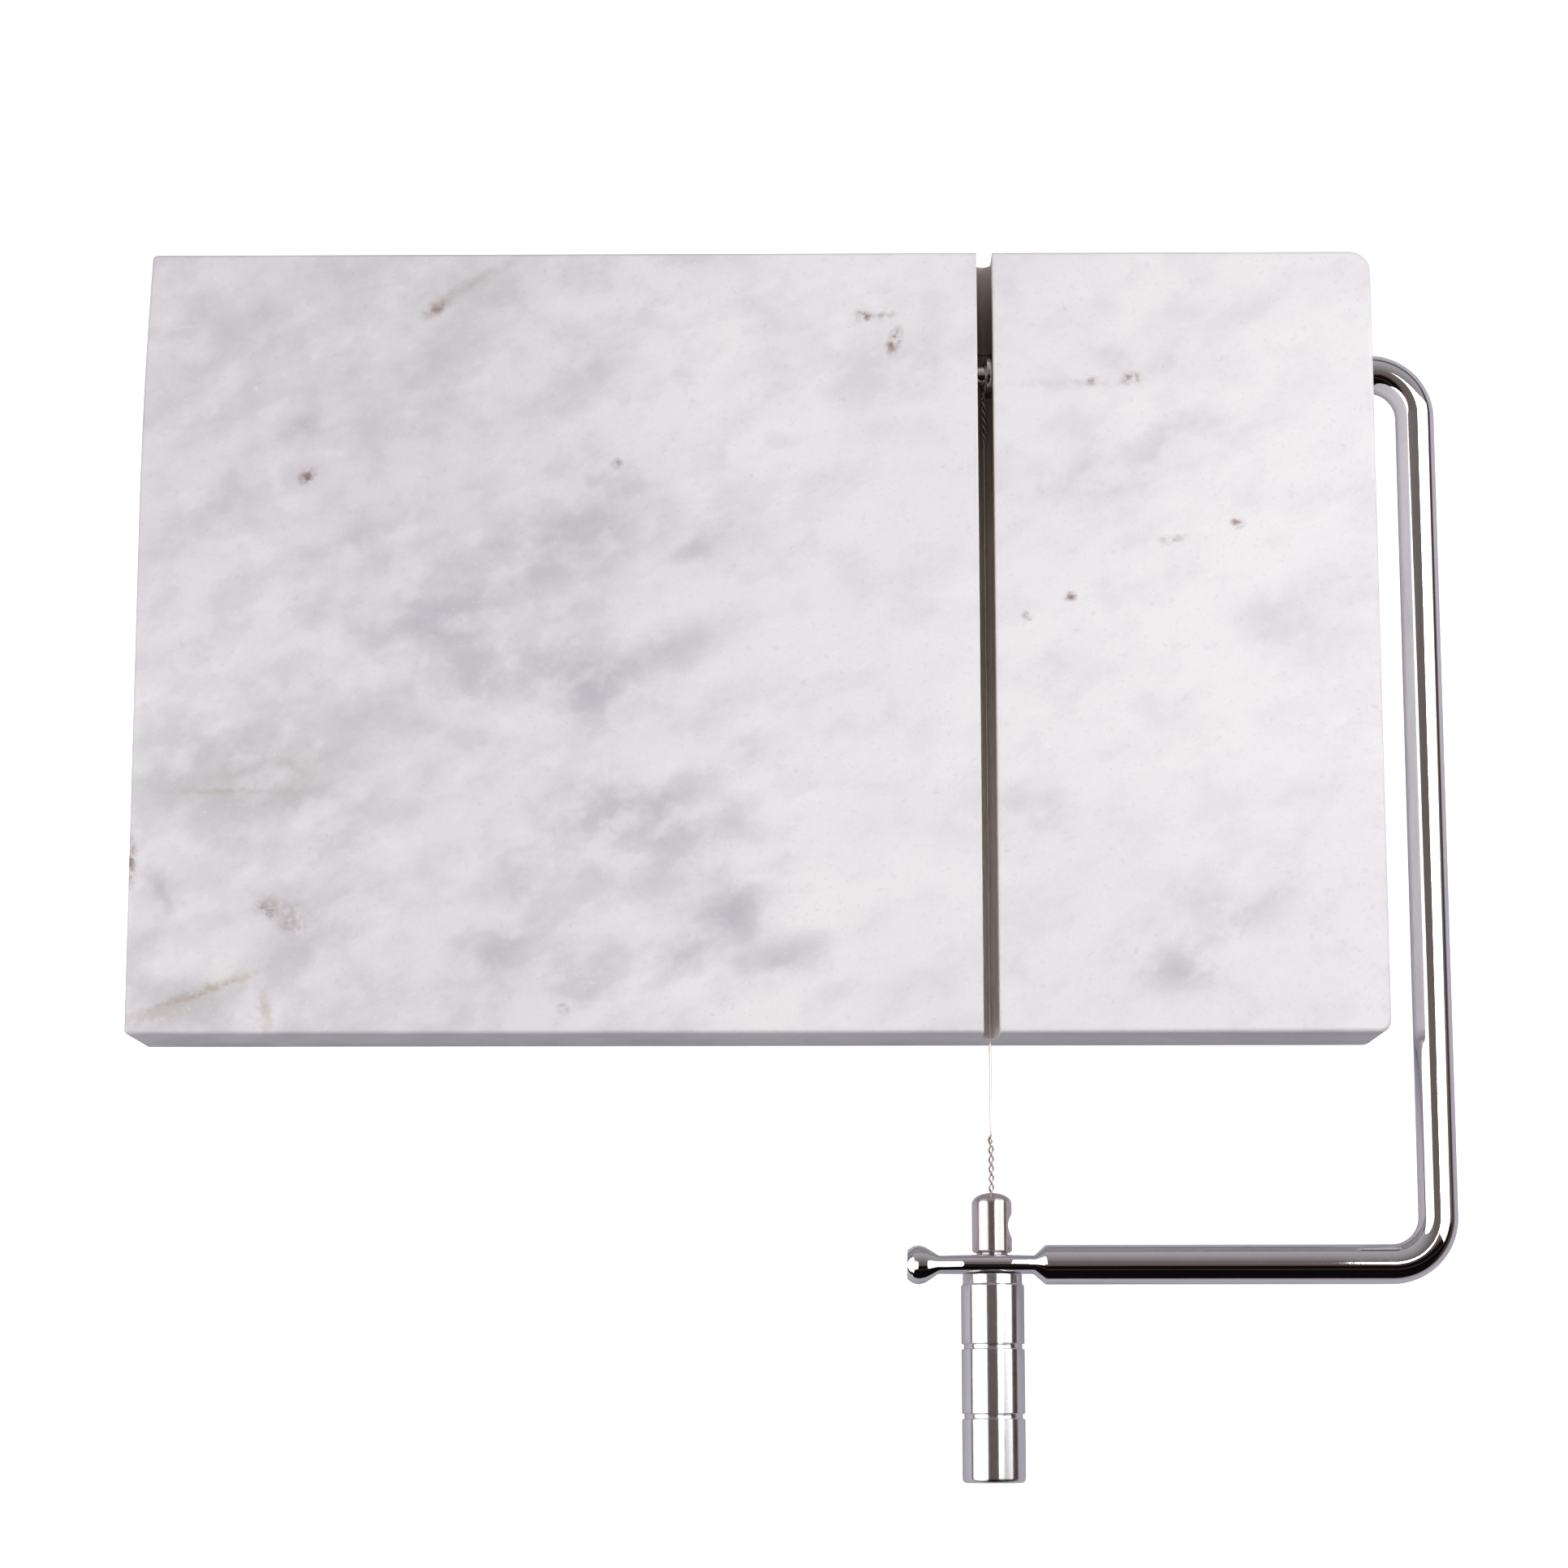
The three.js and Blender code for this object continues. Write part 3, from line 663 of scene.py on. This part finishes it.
def wire_steel():
    """Drawn spring wire: fine lines along it, slightly warm."""
    sh = Material("drawn_wire")
    drawn = sh.noise(sh.coordinates(scale=(1, 0.04, 1)), 9000, 2, 0.6)
    tone = sh.mix(drawn, colour(0.60, 0.55, 0.50), colour(0.85, 0.79, 0.74))
    shine = sh.remap(drawn, 0.3, 0.7, 0.08, 0.16)
    relief = sh.bump(drawn, 0.006 * MM, 0.5)
    sh.set(Base_Color=tone, Metallic=1.0, Roughness=shine, Normal=relief)
    return sh.material


def soft_rubber():
    """Pale, slightly milky bumper rubber with dust on its skin."""
    sh = Material("soft_rubber")
    plain = sh.coordinates()
    dust = sh.noise(plain, 900, 4, 0.65)
    skin_grain = sh.noise(plain, 5000, 2, 0.5)
    dusty = sh.remap(dust, 0.4, 0.75)
    tone = sh.mix(dusty, colour(0.62, 0.61, 0.59), colour(0.45, 0.44, 0.42))
    shine = sh.remap(dust, 0.3, 0.7, 0.45, 0.72)
    relief = sh.bump(skin_grain, 0.01 * MM, 0.5)
    sh.set(Base_Color=tone, Roughness=shine, Normal=relief)
    return sh.material


# ---------------------------------------------------------------- marble board


def board_outline(inset):
    """The slab's outline from above, eased in by inset, anticlockwise from the front left."""
    steps = 6
    ease_steps = 10
    left = board_low.x + inset
    right = board_high.x - inset
    front = board_low.y + inset
    rear = board_high.y - inset
    sharp = SHARP_CORNER - inset
    front_right = FRONT_RIGHT_CORNER - inset
    rear_right = REAR_RIGHT_CORNER - inset
    rear_left = left + LEFT_SET_BACK
    corners = (
        (left + sharp, front + sharp, sharp, math.pi),
        (right - front_right, front + front_right, front_right, -math.pi / 2),
        (right - rear_right, rear - rear_right, rear_right, 0),
        (rear_left + sharp, rear - sharp, sharp, math.pi / 2),
    )
    outline = []
    for x, y, radius, start in corners:
        for k in range(steps + 1):
            a = start + math.pi / 2 * k / steps
            outline.append((x + radius * math.cos(a), y + radius * math.sin(a)))
    ease_from = rear - sharp
    for k in range(1, ease_steps + 1):
        share = k / ease_steps
        back = LEFT_SET_BACK * (1 - share) ** 2
        y = ease_from - (LEFT_EASE_LENGTH - SHARP_CORNER) * share
        outline.append((left + back, y))
    return outline


def groove_cutter():
    """The groove's section, with eased top edges and a round bottom, run past both ends."""
    top = board_high.z
    above = 1 * MM
    half = GROOVE_HALF
    ease = GROOVE_EASE
    steps = 6
    section = [(-half - ease, top + above), (-half - ease, top)]
    for k in range(1, steps + 1):
        a = math.pi / 2 * (1 - k / steps)
        section.append((-half - ease + ease * math.cos(a), top - ease + ease * math.sin(a)))
    bottom = top - GROOVE_DEPTH + half
    for k in range(2 * steps + 1):
        a = math.pi + math.pi * k / (2 * steps)
        section.append((half * math.cos(a), bottom + half * math.sin(a)))
    for k in range(steps):
        a = math.pi - math.pi / 2 * k / steps
        section.append((half + ease + ease * math.cos(a), top - ease + ease * math.sin(a)))
    section += [(half + ease, top), (half + ease, top + above)]
    past = 2 * MM
    ends = (board_low.y - past, board_high.y + past)
    rings = [[(pivot.x + x, y, z) for x, z in section] for y in ends]
    return skin("groove_cutter", rings, cap=True)


def bore_cutter():
    """The pivot bore, with a little breakout flare where it crosses the groove and side."""
    start = pivot.x - BORE_PAST_GROOVE
    near = pivot.x - GROOVE_HALF
    far = pivot.x + GROOVE_HALF
    side = board_high.x
    flare = BORE_FLARE
    r = BORE_RADIUS
    profile = [
        Vector((0, start)),
        Vector((r, start)),
        Vector((r, near - flare)),
        Vector((r + flare, near)),
        Vector((r + flare, far)),
        Vector((r, far + flare)),
        Vector((r, side - flare)),
        Vector((r + flare, side)),
        Vector((r + flare, side + 2 * MM)),
        Vector((0, side + 2 * MM)),
    ]
    origin = Vector((0, pivot.y, pivot.z))
    return turned("bore_cutter", profile, CUTTER_SIDES, "X", origin)


def make_board(material):
    """The slab with its edges eased all round, the sawn groove and the pivot's bore."""
    steps = 5
    bottom_up = [(board_low.z, 1, k) for k in range(steps + 1)]
    up_to_top = [(board_high.z, -1, k) for k in reversed(range(steps + 1))]
    rings = []
    for face, inwards, k in bottom_up + up_to_top:
        a = math.pi / 2 * k / steps
        inset = BOARD_EASE * (1 - math.sin(a))
        z = face + inwards * BOARD_EASE * (1 - math.cos(a))
        rings.append([(x, y, z) for x, y in board_outline(inset)])
    board = skin("marble_slab", rings, cap=True)
    cut(board, groove_cutter())
    cut(board, bore_cutter())
    smooth(board, 40)
    place(board, "board", "marble", material, "marble_board")


def make_feet(material):
    """Four stick-on bumpers: straight flanks, a rounded tread and a slightly hollow sole."""
    for side in ("front_left", "front_right", "rear_left", "rear_right"):
        node = "foot_" + side
        low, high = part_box(node)
        radius = (high.x - low.x) / 2
        height = board_low.z - low.z
        hollow = 0.12 * MM
        corners = (
            (0, hollow, 0),
            (radius * 0.55, hollow, 0.3 * MM),
            (radius * 0.65, 0, 0.2 * MM),
            (radius - 0.15 * MM, 0, 0.55 * MM),
            (radius, height * 0.8, 0.2 * MM),
            (radius - 0.1 * MM, height, 0.05 * MM),
            (0, height, 0),
        )
        sole = Vector(((low.x + high.x) / 2, (low.y + high.y) / 2, low.z))
        foot = turned("rubber_" + node, rounded(corners, 5), 64, "Z", sole)
        smooth(foot)
        place(foot, "board", "rubber", material, node)


# ---------------------------------------------------------------- bow


def spread(start, end, step):
    """Places from start to end, both ends included, about step apart."""
    count = max(1, round(abs(end - start) / step))
    return [start + (end - start) * k / count for k in range(count + 1)]


def leg_profile():
    """Radius at each place along X of the leg that turns in the bore: chamfer, neck, rod."""
    neck_left = pivot.x + NECK_SHIFT - NECK_HALF
    neck_right = pivot.x + NECK_SHIFT + NECK_HALF
    corners = (
        (rod_end_x, ROD - 0.4 * MM, 0),
        (rod_end_x + 0.4 * MM, ROD, 0.15 * MM),
        (neck_left - NECK_FLARE, ROD, 0.1 * MM),
        (neck_left, NECK, 0.15 * MM),
        (neck_right, NECK, 0.15 * MM),
        (neck_right + NECK_FLARE, ROD, 0.1 * MM),
        (arm_x - BEND, ROD, 0),
    )
    return rounded(corners, 4)


def eye_profile():
    """(place along X from the screw's axis, half thickness in Y, half width in Z), in order."""
    # Shared by both outlines: the knob at the rod's end
    knob = ((-11.8, 3.16, 1.1), (-12.7, 2.95, 0.9), (-13.35, 2.52, 0), (-13.6, 2.3, 0))
    thick_corners = (
        (8.9, 3.175, 0),
        (8.5, 3.175, 0.9),
        (6.7, 1.42, 0.7),
        (0, 1.5, 30),
        (-8.6, 1.42, 0.9),
        (-10.7, 2.86, 1.6),
    )
    wide_corners = (
        (8.9, 3.175, 0),
        (8.5, 3.175, 1.5),
        (5.45, 4.35, 3.0),
        (3.0, 4.98, 4.0),
        (-4.4, 4.98, 4.0),
        (-7.4, 4.1, 3.0),
        (-10.6, 3.16, 2.0),
    )
    thick = rounded(thick_corners + knob, 6)
    wide = rounded(wide_corners + knob, 6)
    bends = {round(p.x, 4) for p in thick + wide}
    between = set(spread(8.5, -13.6, 0.4))
    places = sorted(bends | between, reverse=True)
    least_step = 0.02
    kept = [b for a, b in zip(places, places[1:]) if a - b > least_step]
    places = [places[0]] + kept
    half_thick = np.interp(places, [p.x for p in thick][::-1], [p.y for p in thick][::-1])
    half_wide = np.interp(places, [p.x for p in wide][::-1], [p.y for p in wide][::-1])
    return [(x * MM, a * MM, b * MM) for x, a, b in zip(places, half_thick, half_wide)]


def pressed_ring(centre, sideways, thick, wide, sides):
    """A section that is round where thick equals wide, and flat-faced where it is pressed."""
    squareness = 4.5
    flatness = max(0.0, wide - thick)
    ring = []
    for a in circle(sides):
        s = math.sin(a)
        out = thick * math.cos(a)
        up = thick * s + flatness * math.tanh(squareness * s) / math.tanh(squareness)
        ring.append(centre + sideways * out + Vector((0, 0, up)))
    return ring


def eye_cutter():
    """The screw's hole through the eye, eased at both faces."""
    mouth = EYE_HOLE + 0.5 * MM
    ease = 0.35 * MM
    past = 4 * MM
    corners = (
        (0, -past, 0),
        (mouth, -past, 0),
        (mouth, -EYE_THICK - 0.1 * MM, 0),
        (EYE_HOLE, -EYE_THICK + ease, 0.2 * MM),
        (EYE_HOLE, EYE_THICK - ease, 0.2 * MM),
        (mouth, EYE_THICK + 0.1 * MM, 0),
        (mouth, past, 0),
        (0, past, 0),
    )
    origin = Vector((pivot.x, bar_y, pivot.z))
    return turned("eye_cutter", rounded(corners), CUTTER_SIDES, "Y", origin)


def make_bow(material):
    """One rod, skinned from the leg in the bore, round the two bends, to the knob."""
    sides = 96
    straight_step = 6 * MM
    bend_steps = 32
    bend_x = arm_x - BEND
    rear = Vector((0, 1, 0))
    right = Vector((1, 0, 0))
    front = Vector((0, -1, 0))
    rings = []

    def station(x, y, sideways, thick, wide=None):
        centre = Vector((x, y, pivot.z))
        rings.append(pressed_ring(centre, sideways, thick, wide or thick, sides))

    def bend(centre_y, start):
        """A quarter turn, clockwise from above, from the direction start."""
        for k in range(bend_steps + 1):
            a = start - math.pi / 2 * k / bend_steps
            out = Vector((math.cos(a), math.sin(a), 0))
            station(bend_x + BEND * out.x, centre_y + BEND * out.y, out, ROD)

    leg = leg_profile()
    station(rod_end_x, pivot.y, rear, TINY)
    for first, second in zip(leg, leg[1:]):
        for x in spread(first.x, second.x, straight_step)[:-1]:
            share = (x - first.x) / max(second.x - first.x, TINY)
            station(x, pivot.y, rear, first.y + (second.y - first.y) * share)
    bend(pivot.y - BEND, math.pi / 2)
    for y in spread(pivot.y - BEND, bar_y + BEND, straight_step)[1:-1]:
        station(arm_x, y, right, ROD)
    bend(bar_y + BEND, 0)
    eye = eye_profile()
    for x in spread(bend_x, pivot.x + eye[0][0], straight_step)[1:-1]:
        station(x, bar_y, front, ROD)
    for along, thick, wide in eye:
        station(pivot.x + along, bar_y, front, thick, wide)
    station(pivot.x + eye[-1][0], bar_y, front, TINY)

    bow = skin("bow_rod", rings)
    cut(bow, eye_cutter())
    smooth(bow)
    place(bow, "bow", "chrome", material, "bow_arm")


# ---------------------------------------------------------------- cutting wire


def helix(from_y, to_y, turns, end_phase, radius_at):
    """Strand points from from_y to to_y that end at end_phase, measured from +X to +Z."""
    points_a_turn = 18
    count = max(8, int(turns * points_a_turn))
    points = []
    for k in range(count + 1):
        share = k / count
        phase = end_phase - 2 * math.pi * turns * (1 - share)
        r = radius_at(share)
        y = from_y + (to_y - from_y) * share
        points.append(Vector((r * math.cos(phase), y, r * math.sin(phase))))
    return points


def tail_radius(share):
    """A strand's distance from the twist's axis: its cut end springs out a little."""
    sprung = max(0.0, 1 - share / 0.06) ** 1.5
    return TWIST_RADIUS + TAIL_SPRING * sprung


def joining_radius(share):
    """The same for the standing strand, which starts on the axis, in line with the wire."""
    return TWIST_RADIUS * min(1.0, share / 0.14)


def loop_points(centre_y, apex, loop_radius, facing, lean=0.0):
    """Round a post, from one strand at the apex to the other, slanted along X by lean."""
    steps = 28
    distance = math.hypot(apex, TWIST_RADIUS)
    meet = math.atan2(TWIST_RADIUS, apex) + math.acos(loop_radius / distance)
    points = []
    for k in range(steps + 1):
        a = meet + (2 * math.pi - 2 * meet) * k / steps
        x = lean * math.cos(math.pi * k / steps)
        y = centre_y + facing * loop_radius * math.cos(a)
        points.append(Vector((x, y, loop_radius * math.sin(a))))
    return points


def spaced(line, least):
    """The line's points, without those nearer than least to the one before."""
    points = [line[0]]
    for p in line[1:]:
        if (p - points[-1]).length > least:
            points.append(p)
    return points


def tube(name, line, radius, sides):
    """A round wire along a line of points, with small rounded cut ends."""
    along_wire = ((0.0, 1.0),)
    # Places past the end, in millimetres, and the share of the radius there
    cut_end = ((0.0, 1.0), (0.03, 0.9), (0.1, 0.6), (0.1, 0.0))
    first_end = [(-shift, size) for shift, size in reversed(cut_end)]
    points = spaced(line, 0.02 * MM)
    last = len(points) - 1
    tangents = []
    for i in range(last + 1):
        before = points[max(i - 1, 0)]
        after = points[min(i + 1, last)]
        tangents.append((after - before).normalized())
    across = tangents[0].orthogonal().normalized()
    rings = []
    for i, (point, tangent) in enumerate(zip(points, tangents)):
        across = (across - tangent * across.dot(tangent)).normalized()
        other = tangent.cross(across)
        sections = {0: first_end, last: cut_end}.get(i, along_wire)
        for shift, size in sections:
            middle = point + tangent * shift * MM
            ring = [
                middle + (across * math.cos(a) + other * math.sin(a)) * radius * size
                for a in circle(sides)
            ]
            rings.append(ring)
    return skin(name, rings)


def make_wire(material):
    """One length of wire: tail, twist, front loop, twist, straight, twist, rear loop, tail."""
    front_apex_y = barrel_centre.y + FRONT_APEX
    rear_apex_y = pivot.y - REAR_APEX
    front_end = dome_top + FRONT_TWIST_OUTSIDE
    rear_end = rear_apex_y - REAR_TWIST
    front_loop = BARREL_WAIST + LOOP_CLEARANCE + WIRE
    rear_loop = NECK + LOOP_CLEARANCE + WIRE
    up = math.pi / 2

    front_tail = helix(front_end, front_apex_y, FRONT_TURNS, up, tail_radius)
    front_standing = helix(front_end, front_apex_y, FRONT_TURNS, -up, joining_radius)
    rear_standing = helix(rear_end, rear_apex_y, REAR_TURNS, up, joining_radius)
    rear_tail = helix(rear_end, rear_apex_y, REAR_TURNS, -up, tail_radius)
    front_round = loop_points(barrel_centre.y, FRONT_APEX, front_loop, 1)
    rear_round = loop_points(pivot.y, REAR_APEX, rear_loop, -1, lean=REAR_LOOP_LEAN)
    straight = [Vector((0, y, 0)) for y in spread(front_end, rear_end, 4 * MM)[1:-1]]

    line = front_tail + front_round + front_standing[::-1]
    line += straight + rear_standing + rear_round + rear_tail[::-1]
    centre = Vector((pivot.x, 0, pivot.z))
    wire = tube("cutting_wire_strand", [p + centre for p in line], WIRE, 14)
    smooth(wire, 60)
    place(wire, "bow", "wire_steel", material, "cutting_wire")
    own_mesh(wire)


# ---------------------------------------------------------------- tension screw and barrel


def screw_ring(y, radius, threaded=0.0):
    """The screw's section at y. threaded is the share of the thread's full depth there."""
    sides = 96
    steepness = 1.25
    centre = Vector((pivot.x, 0, pivot.z))
    points = []
    for a in circle(sides):
        r = radius
        if threaded:
            turn = (y / PITCH + a / (2 * math.pi)) % 1.0
            from_crest = abs(turn - 0.5) * 2 - THREAD_CREST
            r -= THREAD_DEPTH * threaded * min(1.0, max(0.0, from_crest * steepness))
        points.append(centre + Vector((r * math.sin(a), y, r * math.cos(a))))
    return points


def window_cutter(middle_y):
    """The cross hole that the barrel lies in, open to the right."""
    outside = HEAD + 1 * MM
    corners = (
        (0, -WINDOW_PAST_AXIS, 0),
        (WINDOW, -WINDOW_PAST_AXIS, 0.3 * MM),
        (WINDOW, outside, 0),
        (0, outside, 0),
    )
    origin = Vector((pivot.x, middle_y, pivot.z))
    return turned("window_cutter", rounded(corners), CUTTER_SIDES, "X", origin)


def wire_hole_cutter(start_y):
    """The wire's hole, from the cross hole out through the dome, eased at its mouth."""
    mouth = WIRE_HOLE + 0.4 * MM
    outside = dome_top + 1 * MM
    corners = (
        (0, start_y, 0),
        (WIRE_HOLE, start_y, 0),
        (WIRE_HOLE, dome_top - 0.3 * MM, 0.15 * MM),
        (mouth, dome_top + 0.1 * MM, 0),
        (mouth, outside, 0),
        (0, outside, 0),
    )
    origin = Vector((pivot.x, 0, pivot.z))
    return turned("wire_hole_cutter", rounded(corners), 32, "Y", origin)


def make_screw(material):
    """Domed head with its cross hole and wire hole, plain neck, then the M5 thread."""
    dome_steps = 20
    end_chamfer = 0.5 * MM
    head_chamfer = 0.3 * MM
    end = screw_low.y
    thread_start = head_bottom - 0.6 * MM
    shoulder = dome_top - DOME

    rings = [screw_ring(end, TINY), screw_ring(end, SHANK - end_chamfer)]
    y = end + 0.1 * MM
    while y < thread_start:
        run_out = min(1.0, (thread_start - y) / PITCH)
        radius = min(SHANK, SHANK - end_chamfer + (y - end))
        rings.append(screw_ring(y, radius, run_out))
        y += PITCH / 10
    corners = (
        (SHANK, thread_start, 0),
        (SHANK, head_bottom, 0.1 * MM),
        (HEAD - head_chamfer, head_bottom, 0.08 * MM),
        (HEAD, head_bottom + head_chamfer, 0.15 * MM),
        (HEAD, shoulder - 0.2 * MM, 0),
    )
    rings += [screw_ring(p.y, p.x) for p in rounded(corners)]
    for k in range(dome_steps + 1):
        a = math.pi / 2 * k / dome_steps
        rings.append(screw_ring(shoulder + DOME * math.sin(a), max(HEAD * math.cos(a), TINY)))

    screw = skin("tension_screw_turned", rings)
    window_y = dome_top - WINDOW_FROM_DOME
    cut(screw, window_cutter(window_y))
    cut(screw, wire_hole_cutter(window_y))
    smooth(screw)
    place(screw, "tensioner", "turned_steel", material, "tension_screw")


def make_barrel(material):
    """The waisted pin across the head, with the wire's front loop round its waist."""
    end = (barrel_high.x - barrel_low.x) / 2
    outer = (barrel_high.y - barrel_low.y) / 2
    waist_half = 0.5 * MM
    corners = (
        (0, -end, 0),
        (outer, -end, 0.2 * MM),
        (outer, -waist_half, 0.1 * MM),
        (BARREL_WAIST, -waist_half, 0.1 * MM),
        (BARREL_WAIST, waist_half, 0.1 * MM),
        (outer, waist_half, 0.1 * MM),
        (outer, end, 0.2 * MM),
        (0, end, 0),
    )
    barrel = turned("anchor_barrel_turned", rounded(corners), 48, "X", barrel_centre)
    smooth(barrel)
    place(barrel, "tensioner", "turned_steel", material, "wire_anchor_barrel")


# ---------------------------------------------------------------- handle


def make_handle(material):
    """Turned grip: rounded end, two rings, a step to the collar and the blind bore."""
    length = bar_y - EYE_THICK - COLLAR_GAP - grip_low.y
    shoulder = grip_high.y - grip_low.y - COLLAR_LENGTH
    ring_floor = GRIP - RING_DEPTH
    ring_lean = 0.1 * MM
    bore_ease = 0.35 * MM
    bore_end = length - GRIP_BORE_DEPTH
    corners = [(0, 0.05 * MM, 0), (GRIP * 0.4, 0, 4 * MM), (GRIP, 0, 0.7 * MM)]
    for from_shoulder in sorted(RINGS, reverse=True):
        top = shoulder - from_shoulder
        bottom = top - RING_WIDTH
        corners += [
            (GRIP, bottom, 0.08 * MM),
            (ring_floor, bottom + ring_lean, 0.1 * MM),
            (ring_floor, top - ring_lean, 0.1 * MM),
            (GRIP, top, 0.08 * MM),
        ]
    corners += [
        (GRIP, shoulder - 0.3 * MM, 0.08 * MM),
        (COLLAR, shoulder, 0.06 * MM),
        (COLLAR, length, 0.15 * MM),
        (GRIP_BORE + bore_ease, length, 0.05 * MM),
        (GRIP_BORE, length - bore_ease, 0.1 * MM),
        (GRIP_BORE, bore_end + 0.8 * MM, 0.2 * MM),
        (0, bore_end, 0),
    ]
    origin = Vector((pivot.x, grip_low.y, pivot.z))
    grip = turned("handle_turned", rounded(corners), 128, "Y", origin)
    smooth(grip)
    place(grip, "handle", "chrome", material, "handle_grip")


# ---------------------------------------------------------------- light and floor


# The studio as the chrome shows it, over the object from front to rear:
# degrees from straight up (minus is in front, plus is behind), and the light there
STUDIO_BANDS = (
    (-100, (0.004, 0.004, 0.004)),
    (-36, (0.004, 0.003, 0.003)),
    (-33, (0.05, 0.035, 0.03)),
    (-31, (0.05, 0.035, 0.03)),
    (-28, (0.004, 0.003, 0.003)),
    (-13, (0.006, 0.005, 0.007)),
    (-9, (0.09, 0.06, 0.07)),
    (-3, (0.15, 0.11, 0.10)),
    (4, (0.15, 0.125, 0.115)),
    (12, (0.15, 0.13, 0.12)),
    (27, (0.25, 0.23, 0.24)),
    (50, (0.36, 0.34, 0.355)),
    (72, (0.44, 0.415, 0.45)),
    (84, (0.12, 0.11, 0.10)),
    (100, (0.25, 0.23, 0.25)),
)


def studio_bands(sh, y, z):
    """The bands' light, by how far the direction leans to the front or rear."""
    lean = sh.math("ARCTAN2", y, z)
    turn_share = sh.math("ADD", sh.math("DIVIDE", lean, 2 * math.pi), 0.5)
    ramp = sh.node("ShaderNodeValToRGB", {0: turn_share})
    elements = ramp.color_ramp.elements
    while len(elements) < len(STUDIO_BANDS):
        elements.new(0.5)
    for element, (degrees, rgb) in zip(elements, STUDIO_BANDS):
        element.position = degrees / 360 + 0.5
        element.color = colour(*rgb)
    return ramp.outputs[0]


def make_world():
    """A dark studio with a pale rear wall, as the chrome shows it; white where seen directly."""
    world = bpy.data.worlds.new("studio")
    bpy.context.scene.world = world
    world.use_nodes = True
    sh = Nodes(world.node_tree)
    background = sh.tree.nodes["Background"]
    x, y, z = sh.parts(sh.node("ShaderNodeTexCoord").outputs["Generated"])
    bands = studio_bands(sh, y, z)
    # The brown side walls, low down to the left and right
    side_lean = sh.math("ARCTAN2", sh.math("ABSOLUTE", x), z)
    near_side = sh.remap(side_lean, math.radians(72), math.radians(82))
    level = sh.remap(sh.math("ABSOLUTE", y), 0.75, 0.45)
    base = sh.tint(bands, near_side, level, colour(0.07, 0.045, 0.035))
    seen = sh.node("ShaderNodeLightPath").outputs["Is Camera Ray"]
    sh.feed(background.inputs["Color"], sh.mix(seen, base, colour(1, 1, 1)))
    sh.feed(background.inputs["Strength"], 1.0)


def area_light(name, shape, low, high, width, radiance, level):
    """A flat softbox that faces down: low, high and width are in millimetres.

    It reaches from low to high, and its width lies along the direction level.
    """
    low = Vector(low) * MM
    high = Vector(high) * MM
    span = high - low
    length = span.length
    breadth = width * MM
    filled = math.pi / 4 if shape == "ELLIPSE" else 1
    data = bpy.data.lights.new(name, "AREA")
    data.shape = shape
    data.size = length
    data.size_y = breadth
    data.energy = radiance * math.pi * (length * breadth * filled)
    data.color = (1, 0.99, 1)
    light = linked(name, data)
    across = span.normalized()
    along = (level - across * level.dot(across)).normalized()
    facing = across.cross(along)
    if facing.z > 0:
        facing.negate()
        along.negate()
    axes = Matrix((across, along, -facing)).transposed().to_4x4()
    light.matrix_world = Matrix.Translation((low + high) / 2) @ axes
    light.visible_camera = False


def make_lights():
    """A leaning softbox on the right, dimmer low down and narrow on top, and one on the left."""
    level = Vector((0, 1, 0))
    softboxes = (
        ("softbox_low", "RECTANGLE", (251, 18, 77), (215, 61, 250), 270, 1.7),
        ("softbox_right", "RECTANGLE", (215, 61, 250), (178, 106, 430), 270, 4.9),
        ("softbox_top", "RECTANGLE", (192, -30, 430), (174, -30, 575), 85, 5.5),
        ("softbox_left", "ELLIPSE", (-335, -95, 50), (-145, -95, 420), 600, 1.5),
    )
    for name, shape, low, high, width, radiance in softboxes:
        area_light(name, shape, low, high, width, radiance, level)


def make_floor():
    """A pale floor that reads as white to the camera and pale lavender in the chrome."""
    size = 4.0
    steps = 8

    def build(bm):
        places = [size * (k / steps - 0.5) for k in range(steps + 1)]
        rows = [[bm.verts.new((x, y, 0)) for x in places] for y in places]
        for near, far in zip(rows, rows[1:]):
            for i in range(steps):
                bm.faces.new((near[i], near[i + 1], far[i + 1], far[i]))

    floor = solid_from("floor", build)
    sh = Material("pale_floor")
    sh.tree.nodes.remove(sh.surface)
    seen = sh.node("ShaderNodeLightPath").outputs["Is Camera Ray"]
    matte = sh.node("ShaderNodeBsdfDiffuse", {"Color": colour(0.62, 0.605, 0.665)})
    lift = sh.node("ShaderNodeEmission", {"Color": colour(1, 1, 1), "Strength": 0.85})
    both = sh.node("ShaderNodeAddShader", {0: matte.outputs[0], 1: lift.outputs[0]})
    mixed = sh.node("ShaderNodeMixShader", {0: seen, 1: matte.outputs[0], 2: both.outputs[0]})
    sh.feed(sh.tree.nodes["Material Output"].inputs["Surface"], mixed.outputs[0])
    floor.data.materials.append(sh.material)


# ---------------------------------------------------------------- assembly

bpy.context.scene.view_settings.view_transform = "Standard"

make_board(marble())
make_feet(soft_rubber())
make_bow(chrome("chrome_rod"))
make_wire(wire_steel())
turned_steel = satin_steel()
make_screw(turned_steel)
make_barrel(turned_steel)
make_handle(chrome("chrome_handle", turned_lines=0.008 * MM))
make_world()
make_lights()
make_floor()
